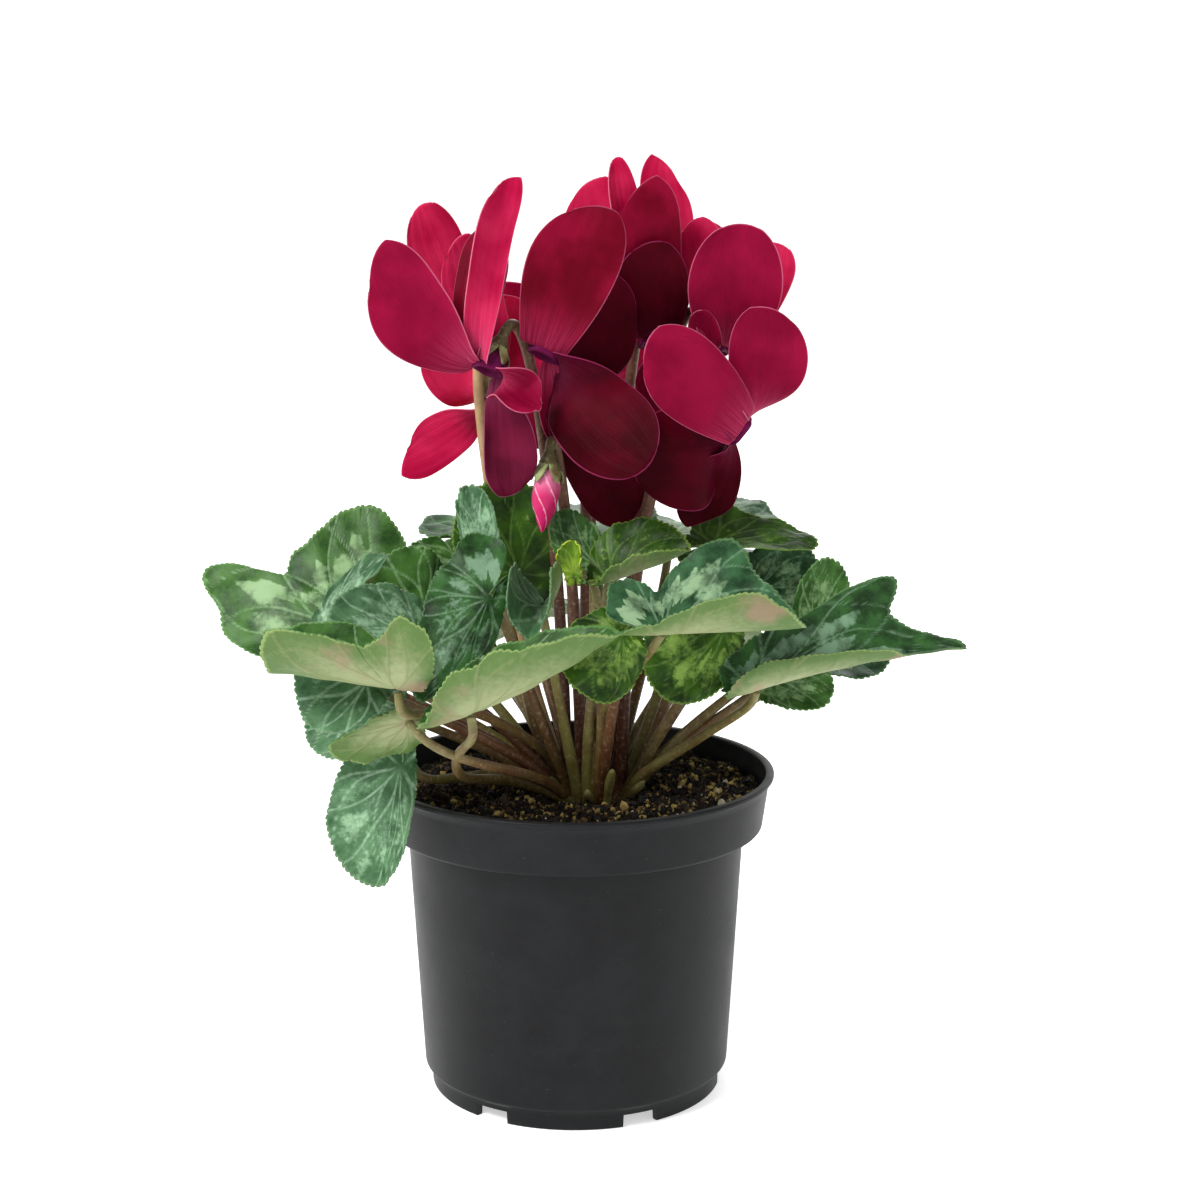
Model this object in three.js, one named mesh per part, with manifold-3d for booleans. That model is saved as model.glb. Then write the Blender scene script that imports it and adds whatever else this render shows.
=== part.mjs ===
// A potted cyclamen in flower: a plastic nursery pot of soil, the tuber in it, leaf stalks and blades,
// reflexed blooms on hooked stalks and one bud. Millimetres, +Z up; the origin is on the ground under the
// middle of the pot, and the side that is seen first faces -Y.
import * as THREE from "three";
import { mergeVertices } from "three/addons/utils/BufferGeometryUtils.js";
import Module from "manifold-3d";

const wasm = await Module();
wasm.setup();

// ---------- driving dimensions ----------
const POT_HEIGHT = 106;
const RIM_RADIUS = 65; // the rounded lip
const COLLAR_TOP_RADIUS = 63.5;
const COLLAR_FOOT_RADIUS = 61.4;
const LEDGE_HEIGHT = 87.8; // where the collar steps in to the body
const BODY_TOP_RADIUS = 55.1;
const BODY_FOOT_RADIUS = 50.4;
const BODY_FOOT_HEIGHT = 7.5;
const FOOT_RADIUS = 48;
const FOOT_WIDTH = 2.6; // of the ring that the pot stands on
const FLOOR_HEIGHT = 6;
const WALL = 1.2;
const POT_SIDES = 32;
const NOTCH_COUNT = 6;
const NOTCH_FIRST = -34; // degrees from the front, positive towards +X
const NOTCH_WIDTH = 12;
const NOTCH_HEIGHT = 4.2;
const DRAIN_RADIUS = 4;

const GAP = 0.3; // between a piece and what it touches
const SOIL_LEVEL = 98;
const SOIL_ROUGHNESS = 1.3;
const SOIL_SIDES = 24;

const CROWN = [6, -1]; // where all the stalks come out of the soil
const CROWN_RADIUS = 15;
const CROWN_TOP = 100.5;
const CROWN_FOOT = 91;
const TUBER_RADIUS = 25;
const TUBER_HEIGHT = 26;

const BLADE_THICKNESS = 0.7;
const PETAL_THICKNESS = 0.7;
const LEAF_STALK_RADIUS = [1.9, 1.4]; // at the crown and under the blade
const FLOWER_STALK_RADIUS = [2, 1.6];
const STALK_SIDES = 5;
const HOOK_CROWDING = 1.6; // of a flower stalk's rings towards its hook
const STALK_SEAT = 0.75; // from a stalk's end to the underside of its blade

const THROAT_RADIUS = 5;
const THROAT_DEPTH = 7;
const PETAL_RING = 4; // radius on which the petals leave the throat
const CALYX_LENGTH = 5;

const BUD_RADIUS = 4.3;

// ---------- the leaf blades ----------
// base: where the stalk meets the blade; tip: the leaf's point; face: the side that its green upper face
// looks to; bend: degrees that the midrib arches over from base to tip; point: how far the tip is drawn
// out; via: points that the stalk passes. width is half the blade's width, and fold the degrees that a
// half turns up towards its margin; where they are pairs, the half on the side face x (tip - base) comes
// first. margin holds factors on a plain heart's reach, and lift the mm that the margin stands off the
// folded surface, each every 45 degrees from the second half's lobe over the tip to the first half's.
// wave, in place of lift: the height of the margin's waves and their phase.
const LEAVES = {
  far_left: {
    base: [-74, 4, 150], tip: [-124, 28, 166], face: [0, -0.75, 0.66], width: 37, point: 0.2,
    fold: [-25, 10], bend: 20, margin: [1.15, 1.6, 0.8, 1, 0.68, 0.8, 0.9], lift: [-4, 0, 3, 0, -2, 0, 1],
  },
  far_right: {
    base: [57, -38, 142], tip: [125, -14, 149], face: [0.05, -0.55, 0.83], width: [32, 9], point: 0.3,
    fold: [40, 140], bend: -10, margin: [1, 1, 1, 1, 1.3, 0.55, 0.3], lift: [0, 0, 0, 0, 2, 0, 0],
    via: [[21, -14, 107], [40, -22, 122]],
  },
  front_trough: {
    base: [-30, -74, 143], tip: [14, -80, 168], face: [0, -0.1, 1], width: [14, 18],
    fold: [40, 85], bend: -12, margin: [0.5, 0.8, 1, 1, 1, 1, 1], lift: [0, 0, 0, 0, 0, 0, 0],
    via: [[-18, -14, 105], [-34, -34, 112], [-35, -60, 126]],
  },
  low_left_pale: {
    base: [-50, -60, 137], tip: [-74, -62, 128], face: [-0.1, 0.75, 0.65], width: [7, 18],
    fold: [10, 10], bend: 15, margin: [0.5, 1, 1, 1, 1, 1, 0.4], lift: [0, 0, 1, 0, -1, 0, 0],
  },
  left_under_dark: {
    base: [-62, -60, 149], tip: [-80, -67, 138], face: [-0.3, -0.85, 0.4], width: [12, 18],
    fold: [10, 10], bend: 20, wave: [1.5, 0],
  },
  left_low_grey: {
    base: [-63, -29, 136], tip: [-82, -37, 122], face: [-0.4, -0.8, 0.4], width: 15,
    fold: [10, 10], bend: 20, wave: [1.5, 0],
  },
  left_trough: {
    base: [-52, -72, 149], tip: [-90, -72, 163], face: [0, 0.1, 1], width: [22, 18],
    fold: [80, 40], bend: -10, margin: [1, 1, 1, 1, 1.3, 0.62, 1.1], lift: [0, 0, 0, 0, 0, 0, 0],
    via: [[-8, -8, 111], [-32, -40, 135]],
  },
  left_oval: {
    base: [-48, -37, 159], tip: [-75, -47, 166], face: [-0.1, -0.75, 0.6], width: [10, 14],
    fold: [5, 10], bend: 15, wave: [0.5, 0],
  },
  left_rolled: {
    base: [-78, -25, 158], tip: [-60, -14, 180], face: [-0.5, -0.7, 0.4], width: [7, 8],
    fold: [30, 60], bend: 10, wave: [0.5, 0],
  },
  left_inner_dark: {
    base: [-49, 4, 161], tip: [-66, 2, 173], face: [-0.1, -0.8, 0.6], width: 17,
    fold: [10, 20], bend: 15, wave: [1.5, 0],
  },
  left_high_edge: {
    base: [-38, 22, 170], tip: [-54, 17, 181], face: [-0.5, -0.6, 0.6], width: 19,
    fold: [10, 30], bend: 15, margin: [0.7, 1, 1, 1, 1, 1, 0.7], lift: [0, 0, 0, 0, 0, 0, 0],
  },
  centre_left_big: {
    base: [-26, -42, 171], tip: [-47, -63, 141], face: [-0.15, -0.9, 0.4], width: [12, 24],
    fold: [-120, -8], bend: 15, margin: [0.95, 1, 1.05, 1, 1, 1, 0.8], lift: [2, 0, 1, 0, 0, 0, 0],
  },
  upper_grey: {
    base: [-27, -20, 178], tip: [-34, -14, 202], face: [-0.3, -0.8, 0.5], width: 12,
    fold: [30, 40], bend: 0, wave: [1, 0],
  },
  olive_back: {
    base: [-18, 9, 171], tip: [-28, 13, 201], face: [0, -0.95, 0.3], width: 18,
    fold: [5, 5], bend: 10, wave: [1.5, 0],
  },
  cup: {
    base: [-9, -40, 163], tip: [-13, -64, 158], face: [0, 0.25, 1], width: 16,
    fold: [110, 110], bend: 10, wave: [1, 0],
  },
  young: {
    base: [-2, -33, 172], tip: [-4, -36, 187], face: [-0.5, -0.8, 0.2], width: 7,
    fold: [50, 40], bend: 0, wave: [1, 0],
  },
  upright_centre: {
    base: [6, -23, 176], tip: [-5, -22, 194], face: [0, -0.9, 0.4], width: [11, 13],
    fold: [10, 20], bend: 10, wave: [1, 0],
  },
  centre_right_back: {
    base: [11, -36, 176], tip: [39, -36, 182], face: [0, -0.6, 0.8], width: [16, 12],
    fold: [15, 110], bend: -10, margin: [0.6, 1, 1, 1, 1, 1, 0.7], lift: [0, 0, 0, 0, 0, 0, 0],
  },
  right_big: {
    base: [27, -62, 165], tip: [69, -58, 166], face: [-0.05, -0.6, 0.8], width: [33, 19],
    fold: [15, 115], bend: 0, margin: [1, 1, 1.1, 1, 1.25, 0.5, 1.4], lift: [0, 0, 0, 0, 3, 0, 2],
    via: [[8, -18, 124]],
  },
  hanging_centre: {
    base: [15, -59, 163], tip: [7, -67, 144], face: [0, -0.95, 0.3], width: [9, 17],
    fold: [-5, -5], bend: 15, margin: [1, 1, 1, 1, 1, 1, 0.5], lift: [0, 0, 1, 0, -1, 0, 0],
  },
  hanging_right: {
    base: [47, -26, 158], tip: [26, -36, 139], face: [0.1, -0.9, 0.4], width: [13, 18],
    fold: [5, 5], bend: 15, margin: [0.7, 0.8, 1, 1, 1, 0.8, 0.6], lift: [0, 0, 0, 0, 0, 0, 0],
  },
  upper_right: {
    base: [44, -8, 182], tip: [78, -2, 180], face: [0, -0.6, 0.8], width: [12, 12],
    fold: [10, 20], bend: 30, margin: [1, 1, 1, 1, 0.9, 1, 1], lift: [0, 0, 0, 0, 0, 0, 0],
  },
  upper_right_grey: {
    base: [44, 20, 184], tip: [66, 30, 183], face: [0, -0.5, 0.85], width: 12,
    fold: [5, 5], bend: 25, wave: [1, 0],
  },
  right_dark: {
    base: [58, 8, 162], tip: [84, 9, 170], face: [0, -0.8, 0.5], width: 16,
    fold: [5, 20], bend: 10, wave: [1, 0],
  },
  right_bright: {
    base: [73, -8, 155], tip: [88, -4, 168], face: [0, -0.7, 0.6], width: 14,
    fold: [10, 20], bend: 10, wave: [1, 0],
  },
  right_under: {
    base: [80, 16, 144], tip: [103, 6, 140], face: [0.2, -0.6, 0.7], width: 14,
    fold: [10, 10], bend: 10, wave: [1, 0],
  },
  right_low: {
    base: [62, -6, 138], tip: [83, -14, 134], face: [0.2, -0.8, 0.5], width: 10,
    fold: [10, 10], bend: 10, wave: [1, 0],
  },
  hanging_front_left: {
    base: [-54, -39, 117], tip: [-62, -50, 81], face: [-0.3, -1, 0.25], width: [9, 20],
    fold: [25, 12], bend: 12, margin: [1.1, 1, 1, 1, 1, 0.8, 0.7], lift: [0, 0, 0, 0, 0, 0, 0],
    via: [[-10, -5, 106.5], [-34, -18, 108], [-48, -33, 112]],
  },
  back_left: {
    base: [-46, 46, 164], tip: [-86, 68, 152], face: [-0.3, 0.3, 0.9], width: 23.5,
    fold: [5, 10], bend: 30, margin: [0.7, 1, 1, 1.1, 1, 1, 0.7], lift: [0, 2, -3, 0, 3, -2, 0],
  },
  back_left_low: {
    base: [-34, 52, 142], tip: [-54, 80, 124], face: [-0.3, 0.5, 0.8], width: 22,
    fold: [5, 10], bend: 30, margin: [0.5, 0.8, 1, 1, 1, 0.8, 0.5], lift: [0, 1, -3, 0, 2, -2, 0],
  },
  back_middle: {
    base: [-2, 48, 153], tip: [-6, 87, 137], face: [0, 0.4, 0.9], width: 23.5,
    fold: [10, 10], bend: 30, wave: [3, 2],
  },
  back_high: {
    base: [8, 28, 178], tip: [0, 62, 184], face: [0, 0.1, 1], width: 22,
    fold: [15, 15], bend: 20, wave: [2, 0],
  },
  back_right_low: {
    base: [38, 52, 142], tip: [58, 80, 128], face: [0.3, 0.5, 0.8], width: 22,
    fold: [5, 10], bend: 30, margin: [0.5, 0.8, 1, 1, 1, 0.8, 0.5], lift: [0, 2, -2, 0, 3, -2, 0],
  },
  back_right: {
    base: [54, 40, 162], tip: [90, 62, 156], face: [0.3, 0.2, 0.9], width: 23.5,
    fold: [10, 5], bend: 30, margin: [0.7, 1, 1, 1, 1, 1, 0.7], lift: [0, 2, -3, 0, 3, -3, 0],
  },
  back_upper_left: {
    base: [-22, 42, 175], tip: [-48, 70, 177], face: [-0.2, 0.1, 1], width: 22,
    fold: [5, 10], bend: 25, wave: [2, 1],
  },
  back_upper_right: {
    base: [32, 40, 177], tip: [48, 73, 175], face: [0.1, 0.15, 1], width: 22,
    fold: [10, 5], bend: 25, wave: [2, 3],
  },
};
const BIG_LEAF = 24; // half-width from which a blade gets the finer grid
const BIG_GRID = { rings: [0.38, 0.72, 1], rim: 32 };
const SMALL_GRID = { rings: [0.55, 1], rim: 24 };
const MIDRIB_CREASE = 0.3; // share of a half's fold that is a crease along the midrib
const TOOTH_DEPTH = 0.035; // of the leaf's radius
const LOBE_REACH = [0.62, 0.28, 0.1]; // radius over length: mean, first and second harmonic
const TIP_WIDTH = 0.24; // radians from the tip over which a drawn-out point fades
const WIDEST = 0.61; // half-width over length that these give
const SINUS = { depth: 0.88, width: 0.16 }; // the notch at the stalk, radians

// ---------- the blooms ----------
// throat: middle of the mouth; mouth: where it looks; petals: their tip, half-width, bulge of the midline,
// cup (degrees from the middle to a margin), the side that the inner face looks to, and ruffle.
const BLOOMS = {
  front_left: {
    throat: [-26, -30, 239], mouth: [-0.1, -0.8, -0.45],
    petals: [
      { tip: [-57, -28, 278], width: 13.5, bulge: 4, cup: 15, face: [-0.3, -0.9, 0.1], ruffle: 0.5 },
      { tip: [-22, -18, 280], width: 9, bulge: 3, cup: 20, face: [-0.8, -0.5, 0], ruffle: 0.5 },
      { tip: [-18, -24, 296], width: 9, bulge: 3, cup: 40, face: [0.8, -0.6, 0], ruffle: 0.3 },
      { tip: [-9, -42, 229], width: 9, bulge: 3, cup: 20, face: [0.2, -0.3, 0.9], ruffle: 1 },
      { tip: [-17, -32, 202], width: 8, bulge: 3, cup: 30, face: [0, -1, 0], ruffle: 1 },
    ],
  },
  centre: {
    throat: [-9, -22, 244], mouth: [0.2, -0.7, -0.6],
    petals: [
      { tip: [6, -28, 289], width: 15.5, bulge: 4, cup: 10, face: [0, -1, 0.1], ruffle: 0.3 },
      { tip: [16, -49, 212], width: 17, bulge: 5, cup: 10, face: [0.1, -0.9, 0.3], ruffle: 0.3 },
      { tip: [16, -8, 262], width: 13, bulge: 3, cup: 10, face: [0, -1, 0], ruffle: 0.5 },
      { tip: [17, -8, 193], width: 12, bulge: 4, cup: 10, face: [0, -1, 0], ruffle: 0.5 },
      { tip: [-5, 10, 279], width: 13, bulge: 4, cup: 15, face: [0, -1, 0.2], ruffle: 0.5 },
    ],
  },
  back_left: {
    throat: [-31, 12, 228], mouth: [-0.3, 0.3, -0.9],
    petals: [
      { tip: [-45, 8, 287], width: 9.5, bulge: 4, cup: 20, face: [0, -1, 0.1], ruffle: 0.8 },
      { tip: [-31, 10, 277], width: 9, bulge: 3, cup: 20, face: [0, -1, 0.1], ruffle: 0.5 },
      { tip: [-47, 10, 241], width: 8, bulge: 3, cup: 15, face: [0, -1, 0.1], ruffle: 0.5 },
      { tip: [-48, 4, 199], width: 10.5, bulge: 9, cup: 10, face: [0, -1, 0.1], ruffle: 0.5 },
      { tip: [-18, 30, 257], width: 12, bulge: 3, cup: 15, face: [0, -1, 0.1], ruffle: 0.5 },
    ],
  },
  top: {
    throat: [26, 10, 244], mouth: [0.1, 0.5, -0.8],
    petals: [
      { tip: [5, 14, 296], width: 11.5, bulge: 4, cup: 15, face: [0, -1, 0.1], ruffle: 0.5 },
      { tip: [15, 2, 298], width: 12, bulge: 3, cup: 25, face: [0.1, -1, 0.1], ruffle: 0.3 },
      { tip: [25, 20, 303], width: 9, bulge: 3, cup: 15, face: [0, -1, 0.1], ruffle: 0.5 },
      { tip: [22, -9, 276], width: 13, bulge: 4, cup: 10, face: [0, -1, 0.1], ruffle: 0.3 },
      { tip: [26, 38, 276], width: 12, bulge: 4, cup: 10, face: [0, -1, 0.1], ruffle: 0.5 },
    ],
  },
  right_top: {
    throat: [47, 0, 242], mouth: [0.3, 0.5, -0.8],
    petals: [
      { tip: [52, -10, 283], width: 15, bulge: 4, cup: 20, face: [0, -1, 0.1], ruffle: 0.3 },
      { tip: [66, 10, 276], width: 9, bulge: 3, cup: 15, face: [0, -1, 0.1], ruffle: 0.3 },
      { tip: [38, 9, 283], width: 7, bulge: 3, cup: 20, face: [0, -1, 0.1], ruffle: 0.5 },
      { tip: [45, 14, 282], width: 9, bulge: 3, cup: 20, face: [0, -1, 0.1], ruffle: 0.5 },
      { tip: [38, -12, 262], width: 9, bulge: 2, cup: 20, face: [0, -1, 0.1], ruffle: 1 },
    ],
  },
  right_low: {
    throat: [50, -14, 218], mouth: [0.45, 0.6, -0.6],
    petals: [
      { tip: [24, -33, 250], width: 14, bulge: 5, cup: -10, face: [0, -1, 0.2], ruffle: 0.3 },
      { tip: [63, -22, 260], width: 13, bulge: 4, cup: -10, face: [0, -1, 0.2], ruffle: 0.3 },
      { tip: [20, -27, 207], width: 18, bulge: 5, cup: -10, face: [0, -1, 0.1], ruffle: 0.3 },
      { tip: [42, -6, 189], width: 9, bulge: 3, cup: 10, face: [0, -1, 0], ruffle: 0.5 },
      { tip: [21, 2, 238], width: 10, bulge: 3, cup: 10, face: [0, -1, 0], ruffle: 0.5 },
    ],
  },
  back: {
    throat: [4, 34, 226], mouth: [-0.1, 0.7, -0.6],
    petals: [
      { tip: [-22, 40, 262], width: 14, bulge: 4, cup: 10, face: [0, 1, 0.1], ruffle: 0.5 },
      { tip: [2, 44, 274], width: 14, bulge: 4, cup: 10, face: [0, 1, 0.1], ruffle: 0.5 },
      { tip: [30, 44, 258], width: 14, bulge: 4, cup: 10, face: [0, 1, 0.1], ruffle: 0.5 },
      { tip: [26, 48, 206], width: 14, bulge: 4, cup: 10, face: [0, 1, 0.2], ruffle: 0.5 },
      { tip: [-20, 46, 208], width: 14, bulge: 4, cup: 10, face: [0, 1, 0.2], ruffle: 0.5 },
    ],
  },
};
const PETAL_ROWS = [0, 0.3, 0.56, 0.8, 1]; // where a petal's rows lie along its midline
const PETAL_COLUMNS = 4; // one fewer on a narrow petal
const NARROW_PETAL = 12;
const PETAL_WIDEST = 0.7; // of the way from throat to tip
const PETAL_BASE = 0.2; // width at the throat over the widest
const PETAL_TIP = 0.5; // width of the round end's last row over the widest
const PETAL_REFLEX = 5; // how far a petal runs out of the mouth before it turns back
const BUD = { top: [-8, -26, 209], tip: [-10, -28, 189] };
// where each flower stalk stands in the crown, from the crown's middle
const STALK_ROOTS = {
  front_left: [-9, -1], centre: [-3, 5], back_left: [-8, 7], top: [3, 9],
  right_top: [8, 7], right_low: [9, 1], back: [-3, 11], bud: [-4, -2],
};

// ---------- colours ----------
const COLOURS = {
  pot: { color: 0x2b2d30, roughness: 0.55, metalness: 0 },
  soil: { color: 0x2a211b, roughness: 1, metalness: 0 },
  tuber: { color: 0x5b4331, roughness: 0.9, metalness: 0 },
  leaf_stalks: { color: 0x7a5a3c, roughness: 0.6, metalness: 0 },
  leaf: { color: 0x3f6a45, roughness: 0.5, metalness: 0 },
  flower_stalk: { color: 0x8a5f48, roughness: 0.6, metalness: 0 },
  petal: { color: 0xb01543, roughness: 0.5, metalness: 0 },
  bud: { color: 0xd23c78, roughness: 0.5, metalness: 0 },
};

// ---------- solids ----------
const vector = (a) => new THREE.Vector3(...a);
const radians = THREE.MathUtils.degToRad;

function solidOf(geometry) {
  const bare = geometry.clone();
  bare.deleteAttribute("normal");
  bare.deleteAttribute("uv");
  const merged = mergeVertices(bare, 1e-4);
  return new wasm.Manifold(
    new wasm.Mesh({
      numProp: 3,
      vertProperties: new Float32Array(merged.attributes.position.array),
      triVerts: new Uint32Array(merged.index.array),
    }),
  );
}

function geometryOf(solid) {
  const mesh = solid.getMesh();
  const places = new Float32Array(mesh.numVert * 3);
  for (let i = 0; i < mesh.numVert; i++)
    places.set(mesh.vertProperties.subarray(i * mesh.numProp, i * mesh.numProp + 3), i * 3);
  return new THREE.BufferGeometry()
    .setAttribute("position", new THREE.BufferAttribute(places, 3))
    .setIndex(new THREE.BufferAttribute(new Uint32Array(mesh.triVerts), 1));
}

function geometryFrom(points, triangles) {
  const geometry = new THREE.BufferGeometry().setFromPoints(points);
  geometry.setIndex(triangles);
  return geometry;
}

// The body with the most volume: scraps that a cut leaves loose are dropped.
function largest(solid) {
  return solid.decompose().sort((a, b) => b.volume() - a.volume())[0];
}

// A closed skin over rings of points that go round the axis the same way, with a fan on each end.
function skinOf(rings) {
  const sides = rings[0].length;
  const points = rings.flat();
  const triangles = [];
  const middle = (ring) => ring.reduce((sum, p) => sum.add(p), new THREE.Vector3()).divideScalar(sides);
  for (let r = 0; r + 1 < rings.length; r++)
    for (let i = 0; i < sides; i++) {
      const j = (i + 1) % sides;
      const [a, b, c, d] = [r * sides + i, r * sides + j, (r + 1) * sides + i, (r + 1) * sides + j];
      triangles.push(a, b, d, a, d, c);
    }
  const last = (rings.length - 1) * sides;
  points.push(middle(rings[0]), middle(rings[rings.length - 1]));
  for (let i = 0; i < sides; i++) {
    const j = (i + 1) % sides;
    triangles.push(rings.length * sides, j, i);
    triangles.push(rings.length * sides + 1, last + i, last + j);
  }
  return geometryFrom(points, triangles);
}

// A ring of points round a place, square to a direction; normal, where the ring starts, is turned with it.
function ringAround(centre, ahead, normal, radius) {
  normal.addScaledVector(ahead, -normal.dot(ahead)).normalize();
  const side = ahead.clone().cross(normal);
  return Array.from({ length: STALK_SIDES }, (_, i) => {
    const angle = (2 * Math.PI * i) / STALK_SIDES;
    const out = normal.clone().multiplyScalar(Math.cos(angle)).addScaledVector(side, Math.sin(angle));
    return centre.clone().addScaledVector(out, radius);
  });
}

// The rings of a round stalk along a curve, its radius running from the first of radii to the second;
// crowding over 1 sets them closer together towards the end.
function stalkRings(curve, radii, steps, crowding, normal) {
  return Array.from({ length: steps + 1 }, (_, i) => {
    const share = 1 - (1 - i / steps) ** crowding;
    const radius = THREE.MathUtils.lerp(...radii, share);
    return ringAround(curve.getPointAt(share), curve.getTangentAt(share), normal, radius);
  });
}

// A sheet from a grid of upper points and their triangles, thickened downwards with the same triangles.
function sheetOf(points, triangles, rim, thickness) {
  const upper = geometryFrom(points, triangles);
  upper.computeVertexNormals();
  const normals = upper.attributes.normal;
  const lower = points.map((p, i) =>
    p.clone().addScaledVector(new THREE.Vector3().fromBufferAttribute(normals, i), -thickness),
  );
  const count = points.length;
  const under = [];
  for (let i = 0; i < triangles.length; i += 3)
    under.push(triangles[i] + count, triangles[i + 2] + count, triangles[i + 1] + count);
  const edge = rim.flatMap((a, i) => {
    const b = rim[(i + 1) % rim.length];
    return [a, b + count, b, a, a + count, b + count];
  });
  return geometryFrom([...points, ...lower], [...triangles, ...under, ...edge]);
}

// ---------- pot, soil and tuber ----------
function wallRadius(height) {
  const share = (height - BODY_FOOT_HEIGHT) / (LEDGE_HEIGHT - BODY_FOOT_HEIGHT);
  return THREE.MathUtils.lerp(BODY_FOOT_RADIUS, BODY_TOP_RADIUS, share);
}

function potSolid() {
  const lip = 1; // radius of the rounded lip
  const profile = [
    [0, FLOOR_HEIGHT],
    [FOOT_RADIUS - FOOT_WIDTH, FLOOR_HEIGHT],
    [FOOT_RADIUS - FOOT_WIDTH, 0],
    [FOOT_RADIUS, 0],
    [FOOT_RADIUS, FLOOR_HEIGHT],
    [BODY_FOOT_RADIUS, BODY_FOOT_HEIGHT],
    [BODY_TOP_RADIUS, LEDGE_HEIGHT],
    [COLLAR_FOOT_RADIUS, LEDGE_HEIGHT],
    [COLLAR_TOP_RADIUS, POT_HEIGHT - 2 * lip],
    [RIM_RADIUS, POT_HEIGHT - 2 * lip + 0.4],
    [RIM_RADIUS, POT_HEIGHT - 0.5],
    [RIM_RADIUS - 0.5, POT_HEIGHT],
    [COLLAR_TOP_RADIUS - WALL, POT_HEIGHT],
    [COLLAR_FOOT_RADIUS - WALL, LEDGE_HEIGHT + WALL],
    [BODY_TOP_RADIUS - WALL, LEDGE_HEIGHT + WALL],
    [BODY_FOOT_RADIUS - WALL, FLOOR_HEIGHT + WALL],
    [0, FLOOR_HEIGHT + WALL],
  ].map(([r, z]) => new THREE.Vector2(r, z));
  const turned = new THREE.LatheGeometry(profile, POT_SIDES);
  turned.rotateX(Math.PI / 2);
  let pot = solidOf(turned);
  for (let i = 0; i < NOTCH_COUNT; i++) {
    const angle = radians(NOTCH_FIRST + (360 / NOTCH_COUNT) * i);
    const notch = new THREE.BoxGeometry(NOTCH_WIDTH, 4 * FOOT_WIDTH, 2 * NOTCH_HEIGHT);
    notch.rotateZ(angle);
    notch.translate(FOOT_RADIUS * Math.sin(angle), -FOOT_RADIUS * Math.cos(angle), 0);
    const drain = new THREE.CylinderGeometry(DRAIN_RADIUS, DRAIN_RADIUS, 4 * WALL, 10);
    drain.rotateX(Math.PI / 2);
    drain.translate(30 * Math.sin(angle), -30 * Math.cos(angle), FLOOR_HEIGHT + WALL / 2);
    pot = pot.subtract(solidOf(notch)).subtract(solidOf(drain));
  }
  return pot;
}

// The soil's height: a low mound, dished at the crown, with ridges across each other.
function soilHeight(x, y) {
  const mound = 1.5 * Math.cos((Math.PI / 2) * Math.min(1, Math.hypot(x, y) / 60));
  const dish = 4.8 * Math.exp(-(((x - CROWN[0]) ** 2 + (y - CROWN[1]) ** 2) / 22 ** 2));
  const ridges = Math.sin(0.21 * x + 0.8) * Math.sin(0.19 * y + 0.3);
  const crossing = 0.5 * Math.sin(0.37 * x - 0.31 * y + 2);
  return SOIL_LEVEL + mound - dish + SOIL_ROUGHNESS * (ridges + crossing);
}

function soilSolid() {
  const ring = (radius, height) =>
    Array.from({ length: SOIL_SIDES }, (_, i) => {
      const angle = (2 * Math.PI * i) / SOIL_SIDES;
      const [x, y] = [radius * Math.cos(angle), radius * Math.sin(angle)];
      return new THREE.Vector3(x, y, height === undefined ? soilHeight(x, y) : height);
    });
  const clear = WALL + GAP + 0.3; // the faceted wall comes inwards between its corners
  const floor = FLOOR_HEIGHT + WALL + GAP;
  const shoulder = LEDGE_HEIGHT + WALL + GAP;
  return solidOf(
    skinOf([
      ring(wallRadius(floor) - clear, floor),
      ring(wallRadius(LEDGE_HEIGHT) - clear, shoulder - 0.5),
      ring(wallRadius(LEDGE_HEIGHT) - clear, shoulder),
      ring(COLLAR_FOOT_RADIUS - clear, shoulder),
      ring(COLLAR_FOOT_RADIUS - clear + 0.7),
      ring(48),
      ring(35),
      ring(22),
    ]),
  );
}

function turnedSolid(profile, sides, grow) {
  const points = profile.map(([r, z]) => new THREE.Vector2(r ? r + grow : 0, z));
  const body = new THREE.LatheGeometry(points, sides);
  body.rotateX(Math.PI / 2);
  body.translate(...CROWN, 0);
  return solidOf(body);
}

function tuberSolid(grow = 0) {
  const top = CROWN_FOOT - GAP + grow;
  const height = TUBER_HEIGHT + 2 * grow;
  const low = top - height;
  const profile = [
    [0, low],
    [0.55 * TUBER_RADIUS, low + 0.06 * height],
    [0.9 * TUBER_RADIUS, low + 0.26 * height],
    [TUBER_RADIUS, low + 0.55 * height],
    [0.85 * TUBER_RADIUS, low + 0.85 * height],
    [0.55 * TUBER_RADIUS, top],
    [0, top],
  ];
  return turnedSolid(profile, 16, grow);
}

function crownSolid(grow = 0) {
  const profile = [
    [0, CROWN_FOOT - grow],
    [0.8 * CROWN_RADIUS, CROWN_FOOT - grow],
    [CROWN_RADIUS, CROWN_TOP - 3],
    [0.8 * CROWN_RADIUS, CROWN_TOP + grow],
    [0, CROWN_TOP + grow],
  ];
  return turnedSolid(profile, 16, grow);
}

// ---------- leaves ----------
// The blade's own axes and sizes, worked out from its row.
function bladeFrame(leaf) {
  const base = vector(leaf.base);
  const chord = vector(leaf.tip).sub(base);
  const along = chord.clone().normalize();
  const up = vector(leaf.face);
  up.addScaledVector(along, -up.dot(along)).normalize();
  const bend = radians(leaf.bend || 0.5);
  return {
    base,
    along,
    up,
    side: up.clone().cross(along),
    bend,
    length: (chord.length() * (bend / 2)) / Math.sin(bend / 2),
    width: Array.isArray(leaf.width) ? leaf.width : [leaf.width, leaf.width],
    fold: leaf.fold.map((f) => radians(f || 0.5)),
    point: leaf.point || 0,
  };
}

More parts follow.
